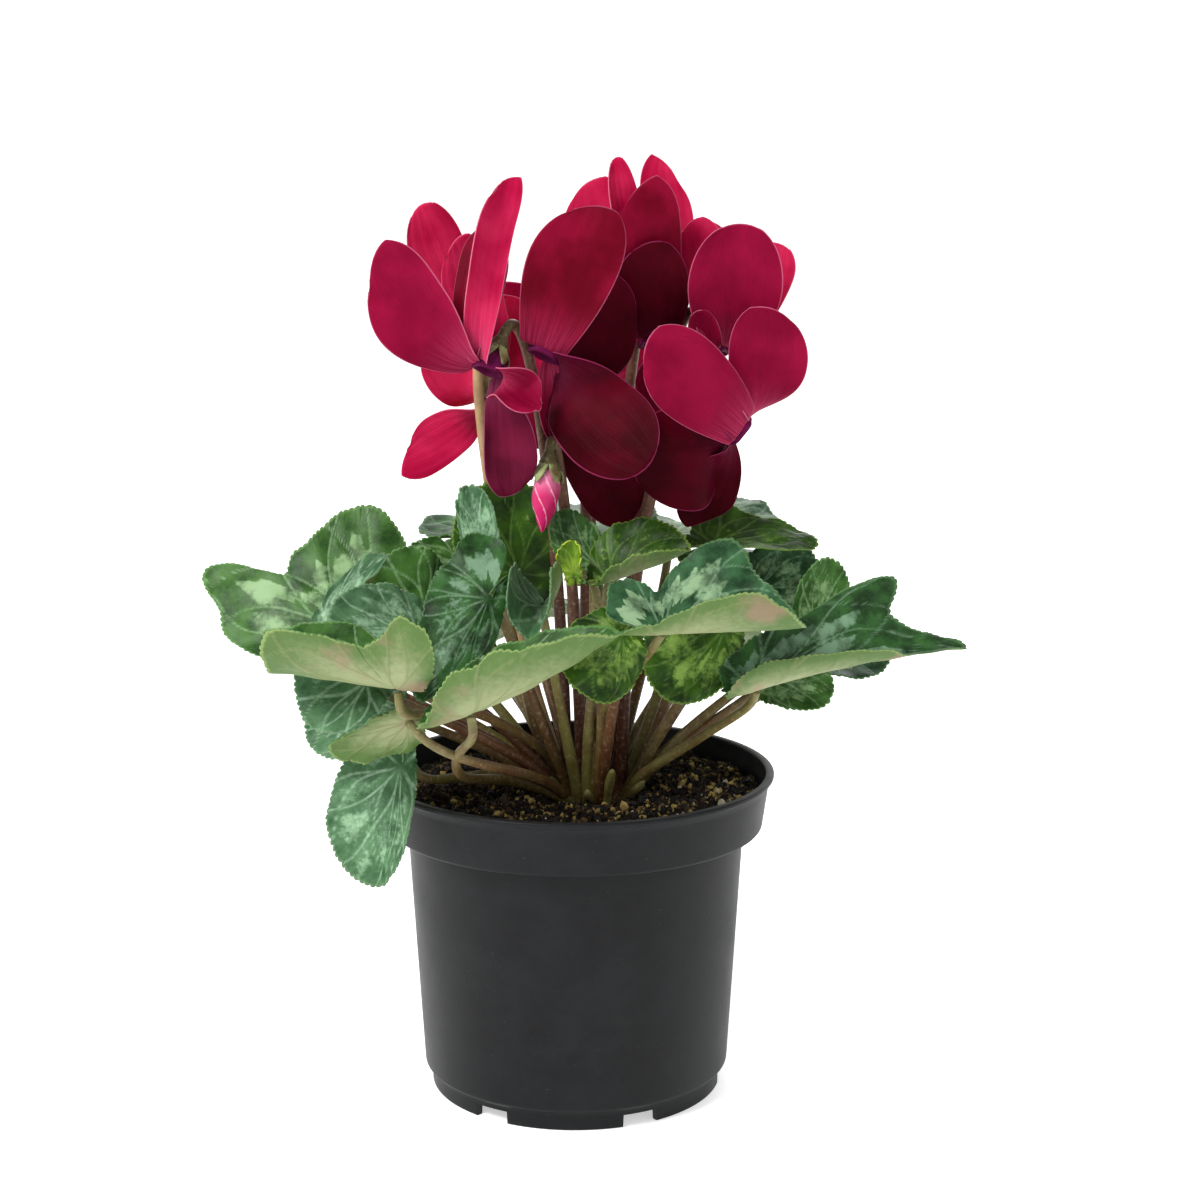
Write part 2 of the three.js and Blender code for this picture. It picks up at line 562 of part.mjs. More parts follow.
// The place of a blade's point that lies x from the stalk along the midrib and y across it, both measured
// on the surface: the midrib is an arc, and each half curls up from a crease towards its margin.
function bladePoint(frame, x, y, lift) {
  const slope = frame.bend / 2 - (frame.bend / frame.length) * x;
  const curve = frame.bend / frame.length;
  const place = frame.base
    .clone()
    .addScaledVector(frame.along, (Math.sin(frame.bend / 2) - Math.sin(slope)) / curve)
    .addScaledVector(frame.up, (Math.cos(slope) - Math.cos(frame.bend / 2)) / curve);
  const up = frame.up.clone().multiplyScalar(Math.cos(slope)).addScaledVector(frame.along, -Math.sin(slope));
  const fold = frame.fold[y > 0 ? 0 : 1];
  const start = fold * MIDRIB_CREASE;
  const width = frame.width[y > 0 ? 0 : 1];
  const angle = start + fold * (1 - MIDRIB_CREASE) * (Math.abs(y) / width);
  const scale = width / (fold * (1 - MIDRIB_CREASE));
  place.addScaledVector(frame.side, Math.sign(y) * scale * (Math.sin(angle) - Math.sin(start)));
  place.addScaledVector(up, scale * (Math.cos(start) - Math.cos(angle)) + lift);
  return place;
}

// A smooth curve round the leaf through values that stand every 45 degrees, from one lobe over the tip
// to the other lobe; the stalk's side takes the mean of the two lobes.
function around(values, angle) {
  const ring = [(values[0] + values[values.length - 1]) / 2, ...values];
  const step = (angle + Math.PI) / (Math.PI / 4);
  const first = Math.floor(step);
  const f = step - first;
  const [a, b, c, d] = [-1, 0, 1, 2].map((k) => ring[(first + k + 2 * ring.length) % ring.length]);
  const square = 2 * a - 5 * b + 4 * c - d;
  const cube = 3 * b - a - 3 * c + d;
  return 0.5 * (2 * b + (c - a) * f + square * f ** 2 + cube * f ** 3);
}

// The notch where the stalk comes in, as a factor on the margin's reach.
function notchAt(angle) {
  return 1 - SINUS.depth * Math.exp(-(((Math.PI - Math.abs(angle)) / SINUS.width) ** 2));
}

// How far a plain heart-shaped leaf reaches at an angle from the tip, along the midrib and across it.
function heartReach(frame, angle) {
  const [mean, first, second] = LOBE_REACH;
  const tip = (1 + frame.point * Math.exp(-((angle / TIP_WIDTH) ** 2))) / (1 + frame.point);
  const reach = tip * (mean + first * Math.cos(angle) + second * Math.cos(2 * angle));
  const half = frame.width[angle > 0 ? 0 : 1];
  return [frame.length * reach * Math.cos(angle), ((half * reach) / WIDEST) * Math.sin(angle)];
}

// How far the margin stands off the folded surface: by its own list, or in waves.
function bladeLift(leaf, angle) {
  if (leaf.lift) return around(leaf.lift, angle);
  return leaf.wave[0] * Math.cos(angle / 2) ** 2 * Math.sin(5 * angle + leaf.wave[1]);
}

// A blade: rings of points from the stalk out to a toothed margin.
function bladeSolid(leaf) {
  const frame = bladeFrame(leaf);
  const grid = Math.max(...frame.width) >= BIG_LEAF ? BIG_GRID : SMALL_GRID;
  const points = [bladePoint(frame, 0, 0, 0)];
  const triangles = [];
  const rimStart = 1 + (grid.rings.length - 1) * (grid.rim / 2);
  const at = (share, step, count) => {
    const angle = (2 * Math.PI * step) / count - Math.PI;
    const tooth = share === 1 && step % 2 ? 1 - TOOTH_DEPTH : 1;
    const scale = share * tooth * notchAt(angle) * (leaf.margin ? around(leaf.margin, angle) : 1);
    const [x, y] = heartReach(frame, angle);
    return bladePoint(frame, x * scale, y * scale, share ** 2 * bladeLift(leaf, angle));
  };
  grid.rings.forEach((share) => {
    const count = share === 1 ? grid.rim : grid.rim / 2;
    for (let i = 0; i < count; i++) points.push(at(share, i, count));
  });
  const half = grid.rim / 2;
  for (let i = 0; i < half; i++) {
    const j = (i + 1) % half;
    triangles.push(0, 1 + i, 1 + j);
    for (let r = 0; r + 2 < grid.rings.length; r++) {
      const [a, b] = [1 + r * half + i, 1 + r * half + j];
      triangles.push(a, a + half, b + half, a, b + half, b);
    }
    const [a, b] = [rimStart - half + i, rimStart - half + j];
    const [p, q, s] = [rimStart + 2 * i, rimStart + 2 * i + 1, rimStart + ((2 * i + 2) % grid.rim)];
    triangles.push(a, p, q, a, q, b, b, q, s);
  }
  const rim = Array.from({ length: grid.rim }, (_, i) => rimStart + i);
  return solidOf(sheetOf(points, triangles, rim, BLADE_THICKNESS));
}

// A leaf's stalk, from the crown to just under its blade.
function leafStalkCurve(leaf) {
  const frame = bladeFrame(leaf);
  const normal = bladeNormal(frame);
  const arrive = frame.along.clone().multiplyScalar(0.35).addScaledVector(normal, 0.9).normalize();
  const cosine = arrive.dot(normal);
  const droop = Math.tan(-MIDRIB_CREASE * Math.min(0, ...frame.fold)); // the halves may fall past the end
  const seat = STALK_SEAT + LEAF_STALK_RADIUS[1] * (Math.sqrt(1 - cosine ** 2) + droop);
  const back = (BLADE_THICKNESS + seat) / cosine;
  const end = frame.base.clone().addScaledVector(arrive, -back);
  const crown = new THREE.Vector3(...CROWN, CROWN_TOP - 3);
  const out = new THREE.Vector3(end.x - crown.x, end.y - crown.y, 0).normalize();
  const start = crown.clone().addScaledVector(out, 0.75 * CROWN_RADIUS);
  if (leaf.via) {
    const near = end.clone().addScaledVector(arrive, -5);
    return new THREE.CatmullRomCurve3([start, ...leaf.via.map(vector), near, end], false, "centripetal");
  }
  const reach = end.distanceTo(start);
  const rise = start.clone().addScaledVector(out, 0.2 * reach);
  rise.z += 0.45 * (end.z - start.z);
  return new THREE.CubicBezierCurve3(start, rise, end.clone().addScaledVector(arrive, -0.3 * reach), end);
}

function bladeNormal(frame) {
  const slope = frame.bend / 2;
  return frame.up.clone().multiplyScalar(Math.cos(slope)).addScaledVector(frame.along, -Math.sin(slope));
}

// ---------- flowers ----------
function bloomMouth(bloom) {
  return vector(bloom.mouth).normalize();
}

// Lays a geometry that was made about +Z at a place, with +Z turned to a direction.
function laid(geometry, place, direction) {
  const turn = new THREE.Quaternion().setFromUnitVectors(new THREE.Vector3(0, 0, 1), direction);
  geometry.applyQuaternion(turn);
  geometry.translate(place.x, place.y, place.z);
  return geometry;
}

// The petal's midline leaves the throat's mouth and turns back to the tip, and its sheet is cupped across.
function petalPoints(bloom, petal) {
  const mouth = bloomMouth(bloom);
  const throat = vector(bloom.throat);
  const tip = vector(petal.tip);
  const out = tip.clone().sub(throat);
  out.addScaledVector(mouth, -out.dot(mouth)).normalize();
  const start = throat.clone().addScaledVector(out, PETAL_RING).addScaledVector(mouth, -0.25 * THROAT_DEPTH);
  const chord = tip.clone().sub(start);
  const span = chord.length();
  const side0 = mouth.clone().cross(out).normalize();
  const bow = side0.clone().cross(chord).normalize();
  if (bow.dot(mouth.clone().add(out)) < 0) bow.negate();
  const first = start.clone().addScaledVector(mouth, PETAL_REFLEX).addScaledVector(out, 2);
  const second = start.clone().addScaledVector(chord, 0.62).addScaledVector(bow, petal.bulge);
  const midline = new THREE.CubicBezierCurve3(start, first, second, tip);
  const straight = midline.getTangent(0.6);
  const face = vector(petal.face);
  const flat0 = straight.clone().cross(side0).normalize();
  const turn = Math.atan2(-face.dot(side0), face.dot(flat0));
  const cup = radians(petal.cup || 0.5);
  const columns = petal.width <= NARROW_PETAL ? PETAL_COLUMNS - 1 : PETAL_COLUMNS;
  const rows = [];
  for (const t of PETAL_ROWS) {
    const ahead = midline.getTangent(Math.min(t, 0.999));
    const flat = ahead.clone().cross(side0).normalize();
    const angle = turn * THREE.MathUtils.smoothstep(t, 0, 0.6);
    const side = side0.clone().multiplyScalar(Math.cos(angle)).addScaledVector(flat, Math.sin(angle));
    const up = flat.clone().multiplyScalar(Math.cos(angle)).addScaledVector(side0, -Math.sin(angle));
    const row = [];
    for (let c = 0; c <= columns; c++) {
      const v = (2 * c) / columns - 1;
      const reach = (petal.width * petalWidth(t)) / cup;
      const ruffle = petal.ruffle * v * v * t * Math.sin(9 * t + 3 * v);
      row.push(
        midline
          .getPoint(t)
          .addScaledVector(side, reach * Math.sin(cup * v))
          .addScaledVector(up, reach * (1 - Math.cos(cup * v)) + ruffle)
          .addScaledVector(ahead, -0.1 * span * v * v * t ** 4),
      );
    }
    rows.push(row);
  }
  return rows;
}

// Half-width over the widest, from a narrow claw to a round end.
function petalWidth(t) {
  if (t < PETAL_WIDEST) return PETAL_BASE + (1 - PETAL_BASE) * THREE.MathUtils.smoothstep(t, 0, PETAL_WIDEST);
  return Math.max(PETAL_TIP, Math.sqrt(1 - ((t - PETAL_WIDEST) / (1 - PETAL_WIDEST)) ** 3));
}

function petalSolid(bloom, petal) {
  const rows = petalPoints(bloom, petal);
  const across = rows[0].length;
  const triangles = [];
  for (let r = 0; r + 1 < rows.length; r++)
    for (let c = 0; c + 1 < across; c++) {
      const a = r * across + c;
      triangles.push(a, a + 1, a + across + 1, a, a + across + 1, a + across);
    }
  const last = (rows.length - 1) * across;
  const rim = [];
  for (let c = 0; c < across - 1; c++) rim.push(c);
  for (let r = 0; r < rows.length - 1; r++) rim.push(r * across + across - 1);
  for (let c = across - 1; c > 0; c--) rim.push(last + c);
  for (let r = rows.length - 1; r > 0; r--) rim.push(r * across);
  return solidOf(sheetOf(rows.flat(), triangles, rim, PETAL_THICKNESS));
}

function throatSolid(bloom) {
  const profile = [
    [0, -THROAT_DEPTH],
    [0.6 * THROAT_RADIUS, -THROAT_DEPTH],
    [THROAT_RADIUS, -1.5],
    [THROAT_RADIUS, 0],
    [THROAT_RADIUS - 1.6, 0],
    [0.4 * THROAT_RADIUS, 1.2 - THROAT_DEPTH],
    [0, 1.2 - THROAT_DEPTH],
  ].map(([r, z]) => new THREE.Vector2(r, z));
  const cup = new THREE.LatheGeometry(profile, 7);
  cup.rotateX(Math.PI / 2);
  return solidOf(laid(cup, vector(bloom.throat), bloomMouth(bloom)));
}

// A flower's stalk, from its root in the crown up and over in a hook, with the calyx at its end.
function flowerStalkSolid(name, seat, direction, grow) {
  const [rootX, rootY] = STALK_ROOTS[name];
  const start = new THREE.Vector3(CROWN[0] + rootX, CROWN[1] + rootY, CROWN_TOP - 4);
  const behind = (distance) => seat.clone().addScaledVector(direction, -distance);
  const end = behind(CALYX_LENGTH);
  const height = end.z - start.z;
  const rise = new THREE.Vector3(start.x, start.y, start.z + 0.45 * height);
  const hook = behind(CALYX_LENGTH + 0.17 * height);
  const curve = new THREE.CubicBezierCurve3(start, rise, hook, end);
  const radii = FLOWER_STALK_RADIUS.map((radius) => radius + grow);
  const normal = new THREE.Vector3(0.3, 1, 0.2);
  const rings = stalkRings(curve, radii, 8, HOOK_CROWDING, normal);
  rings.push(ringAround(behind(0.35 * CALYX_LENGTH), direction, normal, 0.62 * THROAT_RADIUS + grow));
  rings.push(ringAround(seat, direction, normal, 0.66 * THROAT_RADIUS + grow));
  return solidOf(skinOf(rings));
}

function bloomStalk(name, grow = 0) {
  const mouth = bloomMouth(BLOOMS[name]);
  const seat = vector(BLOOMS[name].throat).addScaledVector(mouth, -THROAT_DEPTH - GAP);
  return flowerStalkSolid(name, seat, mouth, grow);
}

function budStalk(grow = 0) {
  const down = vector(BUD.tip).sub(vector(BUD.top)).normalize();
  return flowerStalkSolid("bud", vector(BUD.top).addScaledVector(down, -GAP), down, grow);
}

function bloomSolid(name, bloom) {
  const petals = bloom.petals.map((petal) => petalSolid(bloom, petal));
  const whole = petals.reduce((sum, petal) => sum.add(petal), throatSolid(bloom));
  return largest(whole.subtract(bloomStalk(name, GAP)));
}

// The closed bud: a spindle that hangs from its top.
function budSolid() {
  const down = vector(BUD.tip).sub(vector(BUD.top));
  const profile = [
    [0, 0], [0.6, 0.02], [0.95, 0.22], [1, 0.4], [0.85, 0.62], [0.45, 0.86], [0, 1],
  ].map(([r, z]) => new THREE.Vector2(r * BUD_RADIUS, z * down.length()));
  const spindle = new THREE.LatheGeometry(profile, 8);
  spindle.rotateX(Math.PI / 2);
  return solidOf(laid(spindle, vector(BUD.top), down.normalize()));
}

// ---------- the plant put together ----------
const plant = new THREE.Group();

function place(name, solid, look) {
  const mesh = new THREE.Mesh(geometryOf(solid), new THREE.MeshStandardMaterial(COLOURS[look]));
  mesh.name = name;
  plant.add(mesh);
}

place("pot", potSolid(), "pot");
place("tuber", tuberSolid(), "tuber");
place("soil", largest(soilSolid().subtract(tuberSolid(GAP)).subtract(crownSolid(GAP))), "soil");

let leafStalks = crownSolid();
for (const leaf of Object.values(LEAVES)) {
  const normal = new THREE.Vector3(0.3, 1, 0.2);
  const rings = stalkRings(leafStalkCurve(leaf), LEAF_STALK_RADIUS, leaf.via ? 8 : 5, 1, normal);
  leafStalks = leafStalks.add(solidOf(skinOf(rings)));
}
for (const name of Object.keys(BLOOMS)) leafStalks = leafStalks.subtract(bloomStalk(name, GAP));
place("leaf_stalks", largest(leafStalks.subtract(budStalk(GAP))), "leaf_stalks");

for (const [name, leaf] of Object.entries(LEAVES)) place("leaf_" + name, bladeSolid(leaf), "leaf");
for (const [name, bloom] of Object.entries(BLOOMS)) {
  place("flower_stalk_" + name, bloomStalk(name), "flower_stalk");
  place("bloom_" + name, bloomSolid(name, bloom), "petal");
}
place("flower_stalk_bud", budStalk(), "flower_stalk");
place("bud", budSolid(), "bud");

export default plant;
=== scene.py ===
"""A potted cyclamen in flower: marbled, heart-shaped leaves on brown-pink stalks, crimson blooms with
swept-back petals on hooked stalks, and one bud, in a charcoal nursery pot of dark potting soil.

Lengths are in millimetres until a mesh is made. -Y is the side that is seen first.
"""

import math

import bmesh
import bpy
import numpy as np
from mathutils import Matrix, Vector


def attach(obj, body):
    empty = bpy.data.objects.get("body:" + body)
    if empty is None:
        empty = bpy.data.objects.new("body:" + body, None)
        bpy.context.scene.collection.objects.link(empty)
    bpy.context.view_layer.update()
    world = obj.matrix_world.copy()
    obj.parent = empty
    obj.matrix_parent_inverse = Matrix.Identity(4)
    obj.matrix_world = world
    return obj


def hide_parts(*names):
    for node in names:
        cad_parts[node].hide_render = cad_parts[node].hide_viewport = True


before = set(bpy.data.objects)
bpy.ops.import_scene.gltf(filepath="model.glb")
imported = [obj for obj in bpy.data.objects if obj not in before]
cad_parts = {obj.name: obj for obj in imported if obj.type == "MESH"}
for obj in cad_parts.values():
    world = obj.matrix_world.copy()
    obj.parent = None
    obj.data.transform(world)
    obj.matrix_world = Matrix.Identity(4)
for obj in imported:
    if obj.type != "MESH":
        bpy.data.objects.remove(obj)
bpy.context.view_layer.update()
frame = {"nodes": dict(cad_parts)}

MM = 0.001

# ---------- driving dimensions, the same as the solids' ----------
POT_HEIGHT = 106.0
RIM_RADIUS = 65.0
COLLAR_TOP_RADIUS = 63.5
COLLAR_FOOT_RADIUS = 61.4
LEDGE_HEIGHT = 87.8
BODY_TOP_RADIUS = 55.1
BODY_FOOT_RADIUS = 50.4
BODY_FOOT_HEIGHT = 7.5
FOOT_RADIUS = 48.0
FOOT_WIDTH = 2.6
FLOOR_HEIGHT = 6.0
WALL = 1.2
NOTCH_COUNT = 6
NOTCH_FIRST = -34.0  # degrees from the front, positive towards +X
NOTCH_WIDTH = 12.0
NOTCH_HEIGHT = 4.2
DRAIN_RADIUS = 4.0
DRAIN_RING = 30.0

SOIL_LEVEL = 98.0
SOIL_ROUGHNESS = 1.3
CROWN = (6.0, -1.0)
CROWN_RADIUS = 15.0
CROWN_TOP = 100.5
CROWN_FOOT = 91.0
TUBER_RADIUS = 25.0
TUBER_HEIGHT = 26.0
GAP = 0.3

BLADE_THICKNESS = 0.7
PETAL_THICKNESS = 0.55
LEAF_STALK_RADIUS = 1.4  # at the blade
FLOWER_STALK_RADIUS = (2.0, 1.6)  # at the crown and at the flower
STALK_SEAT = 0.75  # between a blade's under face and its stalk's end
THROAT_RADIUS = 5.0
THROAT_DEPTH = 7.0
PETAL_RING = 4.0
PETAL_REFLEX = 5.0
PETAL_CLAW = 2.5  # half-width where a petal leaves the throat
PETAL_BASE = 0.55  # width at the fold over the widest
CALYX_LENGTH = 5.0
BUD_RADIUS = 4.3

# ---------- studio: lengths in metres ----------
LIGHTS = (  # name, place, diameter, watts
    ("key", (-1.2, -1.1, 1.7), 0.9, 46),
    ("fill", (1.5, -0.9, 0.9), 1.2, 3),
    ("back", (0.5, 1.6, 1.5), 1.2, 16),
)
LIGHT_AIM = (0, 0, 0.17)
SURROUND_LIGHT = 0.48
PAPER_GLOW = 0.52
PAPER_FRONT = -3.0  # where the paper begins, towards the camera
PAPER_HALF_WIDTH = 12
PAPER_TOP = 9.0
SWEEP_START = 6  # where the paper begins to curve up into the backdrop
SWEEP = 1.5  # the curve's radius
CAMERA_PLACE = (0.008, -0.762, 0.3126)
CAMERA_DOWN = 11.17  # degrees
CAMERA_LENS = 72
CAMERA_SENSOR = 36

# ---------- leaves ----------
# base: where the stalk meets the blade; tip: the leaf's point; face: the side its upper face looks to;
# bend: degrees that the midrib arches over; point: how far the tip is drawn out; via: points that the
# stalk passes. Of a pair, the half on the side face x (tip - base) comes first: width is half the
# blade's width, fold the degrees that the half turns up. margin: factors on a plain heart's reach, and
# lift: mm that the margin stands off the fold, at equal steps (45, 22.5 or 11.25 degrees) from the second
# half's lobe over the tip. wave, in place of lift: the height of the margin's waves and their phase.
# colour_and_painted_light: which colours the upper face has, a leaf's own with no painted light, and its
# marbling: reach of the band's middle, half the band's width, and how strong it is.
LEAVES = {
    "far_left": dict(
        base=(-74, 4, 150), tip=(-123, 28, 168), face=(0, -0.75, 0.66), width=37, fold=(-25, 10), bend=20,
        point=0.6, colour_and_painted_light=("green", 0.55, 0.15, 0.8),
        margin=(0.91, 1, 1.05, 1.1, 1.2, 1.35, 1.6, 1.82, 1.88, 1.84, 1.62, 1.33, 1.1, 1.02, 0.8, 1, 1.18,
        1.28, 1.1, 0.84, 0.76, 0.74, 0.77, 0.8, 0.81, 0.8, 0.76, 0.7, 0.63, 0.6, 0.68),
        lift=(-4, 0, 3, 0, -2, 0, 1),
    ),
    "far_right": dict(
        base=(57, -38, 142), tip=(125, -14, 149), face=(0.05, -0.55, 0.83), width=(32, 16), fold=(40, 140),
        bend=20, point=0.3, colour_and_painted_light=("silver", 0.5, 0.16, 0.8),
        margin=(0.42, 0.4, 0.53, 0.7, 0.91, 1.1, 1.25, 1.3, 1.17, 1, 0.93, 0.9, 0.89, 0.9, 0.92, 1, 0.98,
        1.02, 1.28, 0.9, 0.67, 0.7, 0.74, 0.7, 0.71, 0.75, 0.71, 0.6, 0.52, 0.5, 0.5),
        lift=(0, 0, 0, 0, 2, 0, 0), via=((21, -14, 107), (40, -22, 122)),
    ),
    "front_trough": dict(
        base=(-30, -74, 143), tip=(14, -80, 168), face=(0, -0.1, 1), width=(17, 18), fold=(70, 85), bend=-12,
        colour_and_painted_light=("green", 0.55, 0.2, 0.8), margin=(0.8, 1.2, 1, 1, 0.95, 1.1, 0.9),
        via=((-18, -14, 105), (-34, -34, 112), (-35, -60, 126)),
    ),
    "low_left_pale": dict(
        base=(-50, -60, 137), tip=(-74, -62, 128), face=(-0.1, 0.75, 0.65), width=(7, 18), fold=(10, 10),
        bend=15, colour_and_painted_light=("green", 0.5, 0.2, 0.6), margin=(0.5, 1, 1, 1, 1, 1, 0.4),
        lift=(0, 0, 1, 0, -1, 0, 0),
    ),
    "left_under_dark": dict(
        base=(-62, -60, 149), tip=(-80, -67, 138), face=(-0.3, -0.85, 0.4), width=(12, 18), fold=(10, 10),
        bend=20, colour_and_painted_light=("grey", 0.55, 0.16, 0.5), wave=(1.5, 0),
    ),
    "left_low_grey": dict(
        base=(-63, -29, 136), tip=(-82, -37, 122), face=(-0.4, -0.8, 0.4), width=15, fold=(10, 10), bend=20,
        colour_and_painted_light=("grey", 0.55, 0.2, 0.8), wave=(1.5, 0),
    ),
    "left_trough": dict(
        base=(-52, -72, 150), tip=(-90, -72, 155), face=(0, 0.1, 1), width=(32, 34), fold=(80, 60), bend=5,
        colour_and_painted_light=("green", 0.5, 0.2, 0.8),
        margin=(0.5, 0.5, 0.5, 0.5, 0.6, 0.8, 1.05, 1, 1.1, 0.64, 0.72, 1.15, 1.2, 0.9, 0.6),
        via=((-8, -8, 111), (-32, -40, 135)),
    ),
    "left_oval": dict(
        base=(-48, -37, 159), tip=(-75, -47, 166), face=(-0.1, -0.75, 0.6), width=(10, 14), fold=(5, 10),
        bend=15, colour_and_painted_light=("grey", 0.5, 0.22, 0.7), wave=(0.5, 0),
    ),
    "left_rolled": dict(
        base=(-78, -25, 158), tip=(-60, -14, 180), face=(-0.5, -0.7, 0.4), width=(7, 8), fold=(30, 60),
        bend=10, colour_and_painted_light=("grey", 0.5, 0.25, 0.8), wave=(0.5, 0),
    ),
    "left_inner_dark": dict(
        base=(-49, 2, 160), tip=(-66, 0, 172), face=(-0.1, -0.8, 0.6), width=16, fold=(10, 20), bend=15,
        colour_and_painted_light=("green", 0.5, 0.2, 0.3), wave=(1.5, 0),
    ),
    "left_high_edge": dict(
        base=(-38, 23, 170), tip=(-57, 19, 174), face=(-0.5, -0.6, 0.6), width=(18, 16), fold=(10, 30),
        bend=15, colour_and_painted_light=("green", 0.5, 0.2, 0.5), margin=(0.7, 0.8, 0.5, 1, 1, 0.8, 0.5),
    ),
    "centre_left_big": dict(
        base=(-26, -42, 171), tip=(-46, -63, 143), face=(-0.15, -0.9, 0.4), width=(10, 24), fold=(-60, -8),
        bend=15, colour_and_painted_light=("silver", 0.5, 0.2, 0.6),
        margin=(1.25, 1.5, 1.15, 0.95, 0.75, 0.66, 0.78, 1, 0.85, 1.1, 1.1, 0.8, 0.7, 0.6, 0.6),
        lift=(2, 0, 1, 0, 0, 0, 0),
    ),
    "upper_grey": dict(
        base=(-29, -20, 181), tip=(-34, -14, 202), face=(-0.3, -0.8, 0.5), width=(6, 9), fold=(30, 40),
        bend=0, colour_and_painted_light=("grey", 0.5, 0.3, 0.8), wave=(1, 0),
    ),
    "olive_back": dict(
        base=(-18, 0, 171), tip=(-28, 1, 201), face=(0, -0.95, 0.3), width=18, fold=(5, 5), bend=10,
        colour_and_painted_light=("olive", 0.55, 0.2, 0.3), wave=(1.5, 0),
    ),
    "cup": dict(
        base=(-10, -40, 168), tip=(-13, -60, 162), face=(0, 0.25, 1), width=19, fold=(110, 110), bend=10,
        colour_and_painted_light=("grey", 0.5, 0.2, 0.4), wave=(1, 0),
    ),
    "young": dict(
        base=(0, -34, 177), tip=(-1, -37, 188), face=(-0.5, -0.8, 0.2), width=5, fold=(50, 40), bend=0,
        colour_and_painted_light=("young", 0.5, 0.2, 0.3), wave=(0.5, 0),
    ),
    "upright_centre": dict(
        base=(6, -22, 178), tip=(-5, -21, 195), face=(0, -0.9, 0.4), width=(9, 7), fold=(10, 20), bend=10,
        colour_and_painted_light=("green", 0.45, 0.3, 0.7), wave=(0.5, 0),
    ),
    "centre_right_back": dict(
        base=(11, -36, 176), tip=(36, -36, 186), face=(0, -0.6, 0.8), width=(18, 12), fold=(15, 110),
        bend=-10, colour_and_painted_light=("olive", 0.55, 0.2, 0.5), margin=(0.6, 1, 1, 1, 1, 1, 0.7),
    ),
    "right_big": dict(
        base=(27, -62, 165), tip=(69, -58, 166), face=(-0.05, -0.6, 0.8), width=(33, 19), fold=(15, 115),
        bend=0, colour_and_painted_light=("teal", 0.55, 0.16, 1.0),
        margin=(1, 1, 0.95, 0.9, 1.05, 1.15, 1.05, 1, 0.85, 0.95, 0.75, 0.55, 0.8, 1.1, 1),
        lift=(0, 0, 0, 0, 3, 0, 2), via=((8, -18, 124),),
    ),
    "hanging_centre": dict(
        base=(15, -59, 163), tip=(7, -67, 144), face=(0, -0.95, 0.3), width=(9, 17), fold=(-5, -5), bend=15,
        colour_and_painted_light=("olive", 0.5, 0.24, 0.8), margin=(1, 1, 1, 1, 1, 1, 0.5), lift=(0, 0, 1, 0, -1, 0, 0),
    ),
    "hanging_right": dict(
        base=(47, -26, 158), tip=(26, -36, 139), face=(0.1, -0.9, 0.4), width=(13, 18), fold=(5, 5), bend=15,
        colour_and_painted_light=("olive", 0.55, 0.22, 0.75), margin=(0.7, 0.8, 1, 1, 1, 0.8, 0.6),
    ),
    "upper_right": dict(
        base=(44, -8, 182), tip=(78, -2, 180), face=(0, -0.6, 0.8), width=(14, 12), fold=(10, 20), bend=35,
        colour_and_painted_light=("olive", 0.5, 0.2, 0.4), margin=(0.9, 0.6, 0.3, 1, 0.75, 1.2, 0.75),
    ),
    "upper_right_grey": dict(
        base=(47, 20, 185), tip=(69, 30, 182), face=(0, -0.5, 0.85), width=13, fold=(5, 5), bend=30,
        colour_and_painted_light=("grey", 0.5, 0.3, 0.9), wave=(1, 0),
    ),
    "right_dark": dict(
        base=(58, 8, 162), tip=(81, 9, 171), face=(0, -0.8, 0.5), width=15, fold=(5, 20), bend=10,
        colour_and_painted_light=("teal", 0.55, 0.18, 0.8), wave=(1, 0),
    ),
    "right_bright": dict(
        base=(77, -8, 152), tip=(82, -4, 177), face=(0.2, -0.7, 0.5), width=9.5, fold=(10, 20), bend=10,
        colour_and_painted_light=("green", 0.55, 0.18, 0.8), wave=(1, 0),
    ),
    "right_under": dict(
        base=(80, 16, 144), tip=(103, 6, 140), face=(0.2, -0.6, 0.7), width=14, fold=(10, 10), bend=10,
        colour_and_painted_light=("teal", 0.5, 0.18, 0.8), wave=(1, 0),
    ),
    "right_low": dict(
        base=(62, -6, 138), tip=(83, -14, 134), face=(0.2, -0.8, 0.5), width=10, fold=(10, 10), bend=10,
        colour_and_painted_light=("green", 0.5, 0.2, 0.8), wave=(1, 0),
    ),
    "hanging_front_left": dict(
        base=(-54, -39, 117), tip=(-62, -50, 81), face=(-0.3, -1, 0.25), width=(9, 20), fold=(25, 12),
        bend=12, colour_and_painted_light=("grey", 0.6, 0.3, 0.5), margin=(1.1, 1, 1, 1, 1, 0.8, 0.7),
        via=((-10, -5, 106.5), (-34, -18, 108), (-48, -33, 112)),
    ),
    "back_left": dict(
        base=(-46, 46, 164), tip=(-86, 68, 152), face=(-0.3, 0.3, 0.9), width=23.5, fold=(5, 10), bend=30,
        colour_and_painted_light=("green", 0.55, 0.16, 1.0), margin=(0.7, 1, 1, 1.1, 1, 1, 0.7), lift=(0, 2, -3, 0, 3, -2, 0),
    ),
    "back_left_low": dict(
        base=(-34, 52, 142), tip=(-54, 80, 124), face=(-0.3, 0.5, 0.8), width=22, fold=(5, 10), bend=30,
        colour_and_painted_light=("teal", 0.55, 0.18, 0.9), margin=(0.5, 0.8, 1, 1, 1, 0.8, 0.5), lift=(0, 1, -3, 0, 2, -2, 0),
    ),
    "back_middle": dict(
        base=(-2, 48, 153), tip=(-6, 87, 137), face=(0, 0.4, 0.9), width=23.5, fold=(10, 10), bend=30,
        colour_and_painted_light=("green", 0.55, 0.18, 0.9), wave=(3, 2),
    ),
    "back_high": dict(
        base=(8, 28, 178), tip=(0, 62, 184), face=(0, 0.1, 1), width=22, fold=(15, 15), bend=20,
